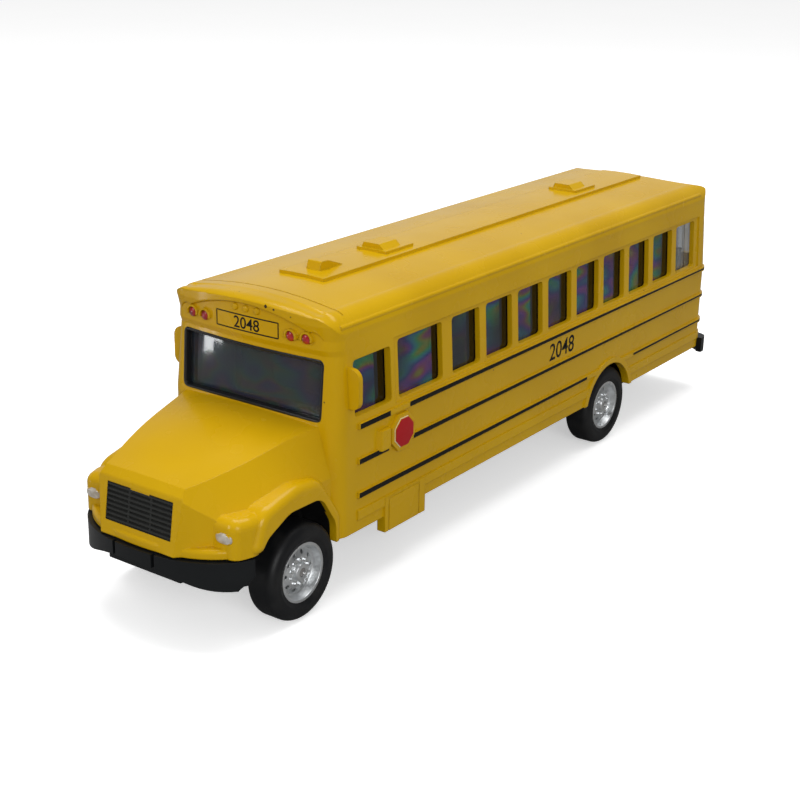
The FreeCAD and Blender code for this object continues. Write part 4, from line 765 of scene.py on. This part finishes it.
@dataclass(frozen=True)
class ClearStyrene(Finish):
    """Clear moulded styrene, with painted rainbow bands where strain splits polarised light, and painted shade beside
    the pillars.

    The painted shade bands repeat with the windows, by pitch from rib_x, within shade_reach. It turns clear at its
    rear end, at the distances end_fade in front of the reach's rear end, and in front of front_x the rainbow is faint.
    """

    clear: float = 0.9
    strained: float = 0.72
    band_mm: float = 10.0
    band_stretch: Point = (0.6, 1.0, 1.5)
    bands: float = 4.0
    patch_mm: float = 17.0
    vivid_front: float = 0.12
    vivid_side: float = 0.9
    smoke: Colour = (0.035, 0.045, 0.06)
    # tint of the front glass, painted paler than the side glass as a painted sheen for its brighter reflections
    haze: Colour = (0.085, 0.1, 0.12)
    rib: Colour = (0.008, 0.009, 0.011)
    pitch: float = 14.14
    rib_x: float = 17.0
    shade_share: float = 0.25
    shade_reach: Span = (-93.0, 36.0)
    driver_rib: Span = (52.0, 56.0)
    end_fade: Span = (6.0, 3.0)
    front_x: float = 66.5
    blur_mm: float = 16.0
    wave_mm: float = 7.0
    wave_depth_mm: float = 0.03
    refraction: float = 1.5

    def build(self, nodes: Nodes) -> None:
        """Runs a painted rainbow along a warped slow noise over smoky glass, and paints dark shade bands beside the
        pillars.

        Args:
            nodes: builder of the material.
        """
        x = nodes.math("DIVIDE", nodes.parts(nodes.coordinates)[0], MM)
        # Painted rainbow: interference colours that strained styrene shows in polarised light, painted into the base
        # colour.
        strain = nodes.noise(self.band_mm, 1.2, self.band_stretch)
        rainbow = nodes.ramp(nodes.math("FRACT", nodes.math("MULTIPLY", strain, self.bands)), RAINBOW)
        patchy = nodes.fade(nodes.noise(self.patch_mm, 1.0), 0.3, 0.55)
        side = nodes.math("LESS_THAN", x, self.front_x)
        vivid = nodes.math("MULTIPLY", patchy, nodes.fade(side, 0.0, 1.0, self.vivid_front, self.vivid_side))
        # the front glass gets the paler tint, a painted sheen; the side glass gets the smoke tint
        colour = nodes.mix(vivid, nodes.mix(side, self.haze, self.smoke), rainbow)
        fade_from, fade_to = (self.shade_reach[0] + distance for distance in self.end_fade)
        open_end = nodes.fade(x, fade_from, fade_to)
        colour = nodes.mix(open_end, colour, self.colour)
        # Painted shade: dark bands at the rear of each side window and on the driver's window, where the glass shows
        # the pillars' shade.
        turn = nodes.math("FRACT", nodes.math("DIVIDE", nodes.math("SUBTRACT", x, self.rib_x), self.pitch))
        pillar_shading = nodes.math("MULTIPLY", nodes.between(x, *self.shade_reach), nodes.math("LESS_THAN", turn, self.shade_share))
        colour = nodes.mix(pillar_shading, colour, self.rib)
        colour = nodes.mix(nodes.between(x, *self.driver_rib), colour, self.rib)
        nodes.link(colour, "Base Color")
        nodes.link(nodes.fade(open_end, 0.0, 1.0, self.strained, self.clear), "Transmission Weight")
        nodes.link(nodes.fade(nodes.noise(self.blur_mm), 0.3, 0.7, self.roughness, self.roughness * 2), "Roughness")
        nodes.set(IOR=self.refraction)
        nodes.relief(nodes.noise(self.wave_mm, 1.0), self.wave_depth_mm)


@dataclass(frozen=True)
class Print(Finish):
    """Pad-printed ink, a little uneven where the pad lifted."""

    worn: Colour = (0.1, 0.1, 0.1)
    thin_mm: float = 0.9
    depth_mm: float = 0.002
    shine: float = 0.15

    def build(self, nodes: Nodes) -> None:
        """Thins the ink by a fine noise.

        Args:
            nodes: builder of the material.
        """
        thin = nodes.noise(self.thin_mm, 4.0)
        nodes.link(nodes.ramp(thin, [(0.62, self.colour), (0.85, self.worn)]), "Base Color")
        nodes.link(nodes.fade(thin, 0.3, 0.7, self.roughness, self.roughness * 1.4), "Roughness")
        nodes.set(Specular_IOR_Level=self.shine)
        nodes.relief(thin, self.depth_mm)


@dataclass(frozen=True)
class LampPaint(Finish):
    """Thick drop of glossy paint on a lamp, darker at its foot."""

    rim: Colour = (0.2, 0.0, 0.0)
    spread_mm: float = 1.4
    depth_mm: float = 0.02
    coat: float = 0.8
    coat_blur: float = 0.05

    def build(self, nodes: Nodes) -> None:
        """Mixes the rim colour in by a small noise and coats it.

        Args:
            nodes: builder of the material.
        """
        spread = nodes.noise(self.spread_mm, 2.0)
        nodes.link(nodes.ramp(spread, [(0.35, self.rim), (0.6, self.colour)]), "Base Color")
        nodes.link(nodes.fade(spread, 0.3, 0.7, self.roughness, self.roughness * 1.5), "Roughness")
        nodes.set(Coat_Weight=self.coat, Coat_Roughness=self.coat_blur)
        nodes.relief(spread, self.depth_mm)


GRILLE_GREY: Colour = (0.028, 0.029, 0.027)
YELLOW: Colour = (0.63, 0.375, 0.002)
DEEP_YELLOW: Colour = (0.575, 0.335, 0.0015)
# Painted shade: near-black on the yellow casting inside the front wheel arches and on the low strip behind them.
ARCH_PAINTED_SHADE: Colour = (0.006, 0.006, 0.006)
YELLOW_ROUGHNESS = 0.22

GRILLE_LOW: Point = (101.0, -9.14, 22.7)
GRILLE_HIGH: Point = (108.0, 9.14, 30.85)
GRILLE_SLOPE: Point = (1.0, 0.1488, 109.55)
GRILLE_DULLNESS = 0.42
ARCH_X: Span = (73.4, 96.7)            # insides of the front wheel arches
ARCH_Y: Span = (13.9, 22.2)
ARCH_TOP_Z = 26.2
ARCH_BACK_X = 69.2                     # of the low strip behind both arches
ARCH_BACK_HALF_Y = 21.6
ARCH_BACK_TOP_Z = 22.6
ARCH_DULLNESS = 0.6
# Small chips of the shell's paint, as (place, radius): two on the header's brow, one at the windshield's corner.
PAINT_CHIPS = (((73.3, 6.0, 62.9), 0.4), ((73.2, 8.1, 62.6), 0.28), ((71.2, 19.5, 38.6), 0.5))


def shell_fields() -> tuple[PaintField, ...]:
    """Gathers the parts of the shell that aren't yellow.

    Returns:
        The grey grille, and the near-black painted shade inside the front wheel arches and on the low strip behind
        them.
    """
    grille = PaintField(GRILLE_LOW, GRILLE_HIGH, GRILLE_GREY, GRILLE_DULLNESS, GRILLE_SLOPE)
    # painted shade: near-black inside both front wheel arches and on the low strip behind them
    arches = [PaintField((ARCH_X[0], low, 0.0), (ARCH_X[1], high, ARCH_TOP_Z), ARCH_PAINTED_SHADE, ARCH_DULLNESS)
              for low, high in (ARCH_Y, (-ARCH_Y[1], -ARCH_Y[0]))]
    back = PaintField((ARCH_BACK_X, -ARCH_BACK_HALF_Y, 0.0), (ARCH_X[0], ARCH_BACK_HALF_Y, ARCH_BACK_TOP_Z),
                      ARCH_PAINTED_SHADE, ARCH_DULLNESS)
    return (grille, *arches, back)


SHELL_PAINT = Enamel("yellow_enamel", YELLOW, YELLOW_ROUGHNESS, deep=DEEP_YELLOW, fields=shell_fields(),
                     chips=PAINT_CHIPS)
DOOR_PAINT = Enamel("yellow_enamel_door", YELLOW, YELLOW_ROUGHNESS, deep=DEEP_YELLOW)
GLAZING = ClearStyrene("clear_styrene", (0.9, 0.93, 0.95), 0.03)
SEAT_PLASTIC = MouldedPlastic("dark_seat_plastic", (0.035, 0.036, 0.04), 0.5)
BASE_PLASTIC = MouldedPlastic("black_base_plastic", (0.010, 0.0115, 0.0125), 0.36, grain_depth_mm=0.006, shine=0.22)
MOTOR_PLASTIC = MouldedPlastic("grey_motor_plastic", (0.22, 0.22, 0.23), 0.45)
WHITE_PLASTIC = MouldedPlastic("white_gear_plastic", (0.72, 0.71, 0.67), 0.42)
RUBBER = TyreRubber("tyre_vinyl", (0.006, 0.0065, 0.0075), 0.45)
BRIGHT_RIM = Metal("bright_plated_rim", (0.84, 0.86, 0.87), 0.36, mark_mm=2.5, depth_mm=0.001, dulled=0.94)
STEEL = Metal("drawn_steel", (0.56, 0.55, 0.54), 0.3, stretch=(1.0, 0.1, 1.0))
SCREW_STEEL = Metal("zinc_screw_steel", (0.5, 0.5, 0.49), 0.34)
BRASS = Metal("cut_brass", (0.78, 0.57, 0.24), 0.3)
SPRING_STEEL = Metal("blued_spring_steel", (0.3, 0.32, 0.37), 0.28, stretch=(1.0, 0.2, 1.0))
BLACK_INK = Print("black_ink", (0.009, 0.008, 0.006), 0.4, worn=(0.04, 0.03, 0.01))
WHITE_INK = Print("cream_ink", (0.8, 0.72, 0.5), 0.35, worn=(0.75, 0.55, 0.2))
RED_INK = Print("red_ink", (0.42, 0.012, 0.016), 0.35, worn=(0.36, 0.03, 0.02))
RED_LAMP = LampPaint("red_lamp_paint", (0.4, 0.006, 0.009), 0.2, rim=(0.2, 0.003, 0.005))
PEARL_LAMP = LampPaint("pearl_lamp_paint", (0.6, 0.56, 0.5), 0.28, rim=(0.42, 0.37, 0.3))
SEAL_RUBBER = MouldedPlastic("black_window_seal", (0.012, 0.012, 0.013), 0.3)

NODE_FINISHES: dict[str, Finish] = {
    "body_shell": SHELL_PAINT,
    "entry_door": DOOR_PAINT,
    "window_glazing": GLAZING,
    "door_glazing": GLAZING,
    "interior_seats": SEAT_PLASTIC,
    "chassis_base": BASE_PLASTIC,
    "motor_case_left": MOTOR_PLASTIC,
    "motor_case_right": MOTOR_PLASTIC,
    "compound_gear": WHITE_PLASTIC,
    "spring_drum": WHITE_PLASTIC,
    "axle_pinion": BRASS,
    "mainspring": SPRING_STEEL,
    "compound_shaft": STEEL,
    "drum_shaft": STEEL,
    "front_axle": STEEL,
    "rear_axle": STEEL,
    "chassis_screws": SCREW_STEEL,
    "motor_screws": SCREW_STEEL,
    **{f"{end}_{side}_tyre": RUBBER for end in ("front", "rear") for side in ("left", "right")},
    **{f"{end}_{side}_rim": BRIGHT_RIM for end in ("front", "rear") for side in ("left", "right")},
}


# ---------------------------------------------------------------- the object's own pieces


@dataclass
class Piece:
    """Base of a sub-assembly: the body that its pieces ride on, and the name of a material slot for their finish."""

    body: str
    slot: str
    made: list[bpy.types.Object] = field(default_factory=list)

    def keep(self, piece: bpy.types.Object, finish: Finish, slot: str | None = None) -> bpy.types.Object:
        """Dresses a new piece, rides it on the body and notes it.

        Args:
            piece: the new object.
            finish: its finish.
            slot: not used.

        Returns:
            The same object.
        """
        finish.put_on(piece)
        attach(piece, self.body)
        self.made.append(piece)
        LOG.info("piece %s rides on %s", piece.name, self.body)
        return piece


@dataclass
class CabFace(Piece):
    """The header and windshield: sign outline, number, warning lamps and the seal round the glass."""

    body: str = "bus"
    slot: str = "yellow_paint"
    face_x: float = 73.0
    lean: float = 1.0
    belt_z: float = 39.0
    header_x: float = 72.5
    header_z: float = 54.2
    bow: float = 1.2
    bow_half: float = 18.7
    sign_half_y: float = 8.5
    sign_z: Span = (56.2, 59.55)
    sign_corner: float = 0.05
    sign_line: float = 0.28
    line_half_t: float = 0.05
    line_corner: float = 0.03
    lamp_y: Span = (15.8, 11.9)
    lamp_z: float = 57.5
    lamp_r: float = 1.12
    lamp_height: float = 0.75
    lamp_depth: float = 0.2
    seal_half_y: float = 19.2
    seal_z: Span = (39.9, 53.0)
    seal_corner: float = 1.0
    seal_crown: float = 0.7
    seal_back: float = 0.75
    seal_section: Point = (0.42, 0.85, 0.3)
    number: str = "2048"
    number_share: float = 0.74

    def bowed(self, y: np.ndarray) -> np.ndarray:
        """Set-back of the face at a sideways place: -bow * (y / bow_half)^2."""
        return -self.bow * (y / self.bow_half) ** 2

    def make(self) -> None:
        """Builds the face's pieces."""
        self.sign()
        self.lamps()
        self.seal()

    def sign(self) -> None:
        """Printed outline and plain number on the header."""
        low, high = self.sign_z
        line = rounded_box(self.sign_half_y, (high - low) / 2, self.sign_corner, 3, 30)
        place = facing(Facing.FRONT, (self.header_x, 0, (low + high) / 2), self.bowed)
        path = place(line[:, 0], line[:, 1], np.zeros(len(line)))
        section = rounded_box(self.sign_line / 2, self.line_half_t, self.line_corner, 2, 1)
        out = np.tile((1.0, 0.0, 0.0), (len(path), 1))
        self.keep(surface("sign_outline", swept(path, section, out, True), wrap_rows=True), BLACK_INK)
        self.keep(number("sign_number", self.number, (high - low) * self.number_share, place), BLACK_INK)

    def lamps(self) -> None:
        """Four red domes under the cast visors."""
        for side in Side:
            for k, y in enumerate(self.lamp_y):
                place = facing(Facing.FRONT, (self.header_x, side.value * y, self.lamp_z), self.bowed)
                lens = patch(f"header_lamp_{side.word}_{k + 1}", ellipse(self.lamp_r, self.lamp_r),
                             dome(self.lamp_height, self.lamp_depth), place)
                self.keep(lens, RED_LAMP)

    def seal(self) -> None:
        """Black seal that follows the windshield opening.

        The path is a rounded rectangle whose lower side is lifted by crown * (1 - (y/half)^2), and x follows the
        face's lean and bow. The section has half sizes and a corner radius.
        """
        low, high = self.seal_z
        middle, half_z = (low + high) / 2, (high - low) / 2
        line = rounded_box(self.seal_half_y, half_z, self.seal_corner, 8, 40)
        y, z = line[:, 0], line[:, 1] + middle
        lower = np.clip((middle - z) / half_z, 0, 1)
        z = z + lower * self.seal_crown * (1 - (y / self.seal_half_y) ** 2)
        x = self.face_x - self.lean * (z - self.belt_z) / (self.header_z - self.belt_z) + self.bowed(y)
        path = np.stack([x - self.seal_back, y, z], axis=1)
        section = rounded_box(*self.seal_section, 4, 2)
        out = np.tile((1.0, 0.0, 0.0), (len(path), 1))
        self.keep(surface("windshield_seal", swept(path, section, out, True), wrap_rows=True), SEAL_RUBBER)


@dataclass
class NoseFace(Piece):
    """Headlights."""

    body: str = "bus"
    slot: str = "yellow_paint"
    lens_x: float = 100.95
    lens_y: float = 18.2
    lens_z: float = 24.1
    half_w: float = 2.05
    half_h: float = 1.15
    squareness: float = 2.6
    height: float = 0.25
    depth: float = 0.6

    def make(self) -> None:
        """Builds the two pearl headlights over the cast bumps."""
        for side in Side:
            place = facing(Facing.FRONT, (self.lens_x, side.value * self.lens_y, self.lens_z))
            outline = ellipse(self.half_w, self.half_h, self.squareness)
            lens = patch(f"headlight_{side.word}", outline, dome(self.height, self.depth), place)
            self.keep(lens, PEARL_LAMP)


# Printed stretches of the three rails of each side, upper to lower, as (front x, rear x). None runs round the rear
# corner. The right side has no road sign but the doorway.
RAIL_SPANS: dict[Side, tuple[tuple[RailSpan, ...], ...]] = {
    Side.LEFT: (((64.2, 53.6), (46.4, None)), ((64.4, 54.0), (44.8, None)), ((64.4, -33.9), (-59.9, None))),
    Side.RIGHT: (((51.3, None),), ((51.3, None),), ((51.3, -33.9), (-59.9, None))),
}


@dataclass
class Flanks(Piece):
    """The printed rails, number and road sign of both sides."""

    body: str = "bus"
    slot: str = "yellow_paint"
    half: float = 23.5
    rear_x: float = -105.5
    corner_r: float = 4.5
    rail_zs: tuple[float, float, float] = (38.0, 30.1, 22.3)
    rail_h: float = 1.25
    proud: float = 0.5
    ink: float = 0.04
    rail_corner: float = 0.06
    short_points: int = 8
    long_points: int = 12
    corner_points: int = 10
    fade_xs: tuple[float, ...] = (-105.0, -60.0, 0.0, 45.0, 54.0)
    fade_hs: tuple[float, ...] = (0.36, 0.5, 0.66, 0.84, 0.88)
    door_y: float = 11.7
    number: str = "2048"
    number_x: float = -20.5
    number_z: float = 34.05
    number_h: float = 4.3
    sign_x: float = 49.2
    sign_z: float = 32.6
    sign_outer: float = 3.62
    sign_inner: float = 3.45
    sign_steps: Span = (0.9, 1.2)
    border_t: float = 0.05
    face_t: float = 0.06

    def make(self) -> None:
        """Builds both sides."""
        for side in Side:
            self.stripes(side)
            place = facing(Facing[side.name], (self.number_x, side.value * self.half, self.number_z))
            self.keep(number(f"side_number_{side.word}", self.number, self.number_h, place), BLACK_INK)
        self.road_sign()

    def stripes(self, side: Side) -> None:
        """Black print on the three rails, thinner towards the rear.

        A flat section is carried straight back and round the rear corner, its height scaled at each place by the
        straight-line table fade_hs over fade_xs.

        Args:
            side: the side of the bus.
        """
        section = rounded_box(self.rail_h / 2 + self.ink, self.proud / 2 + self.ink / 2, self.rail_corner, 3, 1)
        section[:, 1] -= self.proud / 2 - self.ink / 2
        for letter, z, spans in zip("abc", self.rail_zs, RAIL_SPANS[side]):
            for j, (front, rear) in enumerate(spans):
                path, out = self.rail_path(side, z, front, rear)
                grid = swept(path, section, out, False)
                share = np.interp(grid[..., 0], self.fade_xs, self.fade_hs)
                grid[..., 2] = z + (grid[..., 2] - z) * share
                self.keep(surface(f"rail_print_{side.word}_{letter}{j + 1}", grid), BLACK_INK)

    def rail_path(self, side: Side, z: float, front: float, rear: float | None) -> tuple[np.ndarray, np.ndarray]:
        """Path on a rail's outer face, and the outward direction along it.

        Straight stretches are evenly divided, and the rear corner is a quarter circle of corner_r + proud about
        (rear_x + corner_r, half - corner_r).

        Args:
            side: the side of the bus.
            z: height of the rail's middle.
            front: where the stretch starts.
            rear: where it ends, or None to go round the rear corner to the rear door.

        Returns:
            Points and outward unit vectors, n by 3 each.
        """
        y = self.half + self.proud
        if rear is not None:
            points = [(px, y) for px in np.linspace(front, rear, self.short_points)]
            outs = [(0, 1)] * self.short_points
        else:
            turn = np.linspace(0, np.pi / 2, self.corner_points)
            radius = self.corner_r + self.proud
            cx, cy = self.rear_x + self.corner_r, self.half - self.corner_r
            arc = [(cx - radius * math.sin(t), cy + radius * math.cos(t)) for t in turn]
            flat = [(px, y) for px in np.linspace(front, arc[0][0], self.long_points)[:-1]]
            outs = [(0, 1)] * len(flat) + [(-math.sin(t), math.cos(t)) for t in turn] + [(-1, 0)]
            points = flat + arc + [(self.rear_x - self.proud, self.door_y)]
        path = np.array([(px, side.value * py, z) for px, py in points])
        out = np.array([(ox, side.value * oy, 0.0) for ox, oy in outs])
        return path, out

    def road_sign(self) -> None:
        """Cream border and red face on the cast octagon of the left side."""
        layers = (
            ("border", self.sign_outer, self.border_t, WHITE_INK),
            ("face", self.sign_inner, self.face_t, RED_INK),
        )
        for step, (word, radius, thickness, ink) in zip(self.sign_steps, layers):
            place = facing(Facing.LEFT, (self.sign_x, self.half + step, self.sign_z))
            self.keep(patch(f"road_sign_{word}", polygon(radius, 8), plate(thickness), place), ink)


@dataclass
class Tail(Piece):
    """Lamps of the rear face, as (y, z, radius)."""

    body: str = "bus"
    slot: str = "yellow_paint"
    face_x: float = -106.0
    lamps: tuple[tuple[float, float, float], ...] = (
        (16.0, 25.8, 2.1), (11.2, 25.8, 1.5), (17.2, 56.6, 1.5), (12.8, 56.6, 1.5))
    lamp_height: float = 0.4
    lamp_depth: float = 0.1

    def make(self) -> None:
        """Builds a dome on each cast boss."""
        for side in Side:
            for k, (y, z, radius) in enumerate(self.lamps):
                place = facing(Facing.REAR, (self.face_x, side.value * y, z))
                profile = dome(self.lamp_height, self.lamp_depth)
                lens = patch(f"rear_lamp_{side.word}_{k + 1}", ellipse(radius, radius), profile, place)
                self.keep(lens, RED_LAMP)


# ---------------------------------------------------------------- studio


@dataclass(frozen=True)
class SoftBox:
    """A soft lamp: place, aim and size in metres, and its power."""

    name: str
    place: Point
    aim: Point
    size: Span
    watts: float
    colour: Colour = (1.0, 1.0, 1.0)

    def make(self) -> None:
        """Adds the lamp to the scene."""
        lamp = bpy.data.lights.new(self.name, "AREA")
        lamp.shape = "RECTANGLE"
        lamp.size, lamp.size_y = self.size
        lamp.energy = self.watts
        lamp.color = self.colour
        holder = bpy.data.objects.new(self.name, lamp)
        holder.location = self.place
        holder.rotation_mode = "QUATERNION"
        holder.rotation_quaternion = (Vector(self.aim) - Vector(self.place)).to_track_quat("-Z", "Y")
        bpy.context.scene.collection.objects.link(holder)


@dataclass(frozen=True)
class Studio:
    """Pale floor, soft lamps, even surroundings and the camera. Places are in metres.

    What reflects the surroundings sees glow_least everywhere, plus a glow towards back. That glow grows with the
    cosine to back over glow_turn, and falls with height over glow_rise, between glow_levels.
    """

    camera_at: Point = (0.298176, 0.201592, 0.150429)
    camera_aim: Point = (0.016488, -0.000202, 0.025)
    camera_roll: float = 0.017826
    lens_mm: float = 67.6
    sensor_mm: float = 36.0
    clip: Span = (0.01, 50.0)
    floor_reach: float = 6.0
    floor_rings: tuple[float, ...] = (0.0, 0.05, 0.2, 1.0)
    floor_sides: int = 64
    floor_drop_mm: float = 0.02
    floor_colour: Colour = (0.9, 0.9, 0.9)
    floor_grain_mm: float = 60.0
    floor_shade: float = 0.985
    floor_bounce: float = 0.28
    floor_lift: float = 0.48
    sky: float = 0.48
    sky_low: float = 0.8
    back: Point = (-0.76, -0.65, 0.0)
    glow_turn: Span = (0.25, 0.9)
    glow_rise: Span = (0.62, 0.3)
    glow_levels: Span = (0.12, 1.0)
    glow_least: float = 0.22
    lamps: tuple[SoftBox, ...] = (
        SoftBox("softbox_top", (-0.1, -0.05, 0.75), (0.0, 0.0, 0.03), (0.7, 0.4), 3.6),
        SoftBox("softbox_camera", (0.6, 0.75, 0.4), (0.0, 0.0, 0.03), (0.5, 0.4), 3.6),
        SoftBox("softbox_front", (0.8, -0.3, 0.35), (0.05, 0.0, 0.03), (0.12, 0.4), 1.2),
        SoftBox("strip_low_left", (0.205, -0.185, 0.002), (0.0725, -0.012, 0.048), (0.012, 0.05), 0.02),
        SoftBox("strip_low_right", (0.225, -0.19, 0.002), (0.0725, -0.012, 0.048), (0.01, 0.03), 0.012),
    )

    def make(self) -> None:
        """Builds the studio."""
        self.floor()
        self.surroundings()
        for lamp in self.lamps:
            lamp.make()
        self.camera()

    def floor(self) -> None:
        """Flat pale floor just under the tyres, a disc of rings that widen outwards."""
        turn = np.linspace(0, 2 * np.pi, self.floor_sides, endpoint=False)
        reach = self.floor_reach / MM * np.array(self.floor_rings)[:, None]
        x, y = reach * np.cos(turn), reach * np.sin(turn)
        piece = surface("floor", np.stack([x, y, np.full_like(x, -self.floor_drop_mm)], axis=-1))
        nodes = Nodes("pale_floor")
        tone = tuple(c * self.floor_shade for c in self.floor_colour)
        pale = nodes.ramp(nodes.noise(self.floor_grain_mm), [(0.3, tone), (0.7, self.floor_colour)])
        seen = nodes.tree.nodes.new("ShaderNodeLightPath").outputs["Is Camera Ray"]
        nodes.link(nodes.mix(seen, (self.floor_bounce,) * 3, pale), "Base Color")
        nodes.link(nodes.math("MULTIPLY", seen, self.floor_lift), "Emission Strength")
        nodes.set(Roughness=1.0, Specular_IOR_Level=0.0, Emission_Color=(1.0, 1.0, 1.0))
        piece.data.materials.append(nodes.material)

    def surroundings(self) -> None:
        """Even sky for its light, white where it is seen, and bright low behind the bus where it is reflected."""
        world = bpy.data.worlds.new("white_studio")
        world.use_nodes = True
        tree = world.node_tree
        background = tree.nodes["Background"]
        background.inputs["Strength"].default_value = self.sky
        split = tree.nodes.new("ShaderNodeSeparateXYZ")
        coordinates = tree.nodes.new("ShaderNodeTexCoord")
        tree.links.new(coordinates.outputs["Generated"], split.inputs[0])
        ramp = tree.nodes.new("ShaderNodeValToRGB")
        ramp.color_ramp.elements[0].color = (*[self.sky_low] * 3, 1)
        ramp.color_ramp.elements[1].color = (1, 1, 1, 1)
        tree.links.new(split.outputs[2], ramp.inputs["Fac"])
        behind = tree.nodes.new("ShaderNodeVectorMath")
        behind.operation = "DOT_PRODUCT"
        behind.inputs[1].default_value = self.back
        tree.links.new(coordinates.outputs["Generated"], behind.inputs[0])
        glow = tree.nodes.new("ShaderNodeMath")
        glow.operation = "MULTIPLY_ADD"
        tree.links.new(mapped(tree, behind.outputs["Value"], self.glow_turn, (0.0, 1.0)), glow.inputs[0])
        tree.links.new(mapped(tree, split.outputs[2], self.glow_rise, self.glow_levels), glow.inputs[1])
        glow.inputs[2].default_value = self.glow_least
        rays = tree.nodes.new("ShaderNodeLightPath").outputs
        white = (1 / self.sky,) * 3
        reflected = mixed(tree, rays["Is Glossy Ray"], ramp.outputs["Color"], glow.outputs[0])
        tree.links.new(mixed(tree, rays["Is Camera Ray"], reflected, white), background.inputs["Color"])
        bpy.context.scene.world = world

    def camera(self) -> None:
        """Camera at the photograph's place, aim and roll."""
        data = bpy.data.cameras.new("camera")
        data.lens = self.lens_mm
        data.sensor_width = self.sensor_mm
        data.clip_start, data.clip_end = self.clip
        holder = bpy.data.objects.new("camera", data)
        holder.location = self.camera_at
        holder.rotation_mode = "QUATERNION"
        look = (Vector(self.camera_aim) - Vector(self.camera_at)).to_track_quat("-Z", "Y")
        holder.rotation_quaternion = look @ Quaternion((0, 0, 1), self.camera_roll)
        bpy.context.scene.collection.objects.link(holder)
        bpy.context.scene.camera = holder
        bpy.context.scene.view_settings.view_transform = "Standard"


def main() -> None:
    """Dresses the frame's nodes, builds the new pieces and the studio."""
    logging.basicConfig(level=logging.INFO, format="%(message)s")
    Studio().make()
    for name, finish in NODE_FINISHES.items():
        finish.put_on(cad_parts[name])
        LOG.info("node %s has %s", name, finish.name)
    for assembly in (CabFace(), NoseFace(), Flanks(), Tail()):
        assembly.make()
        LOG.info("%s: %d pieces", type(assembly).__name__, len(assembly.made))


if __name__ == "__main__":
    main()
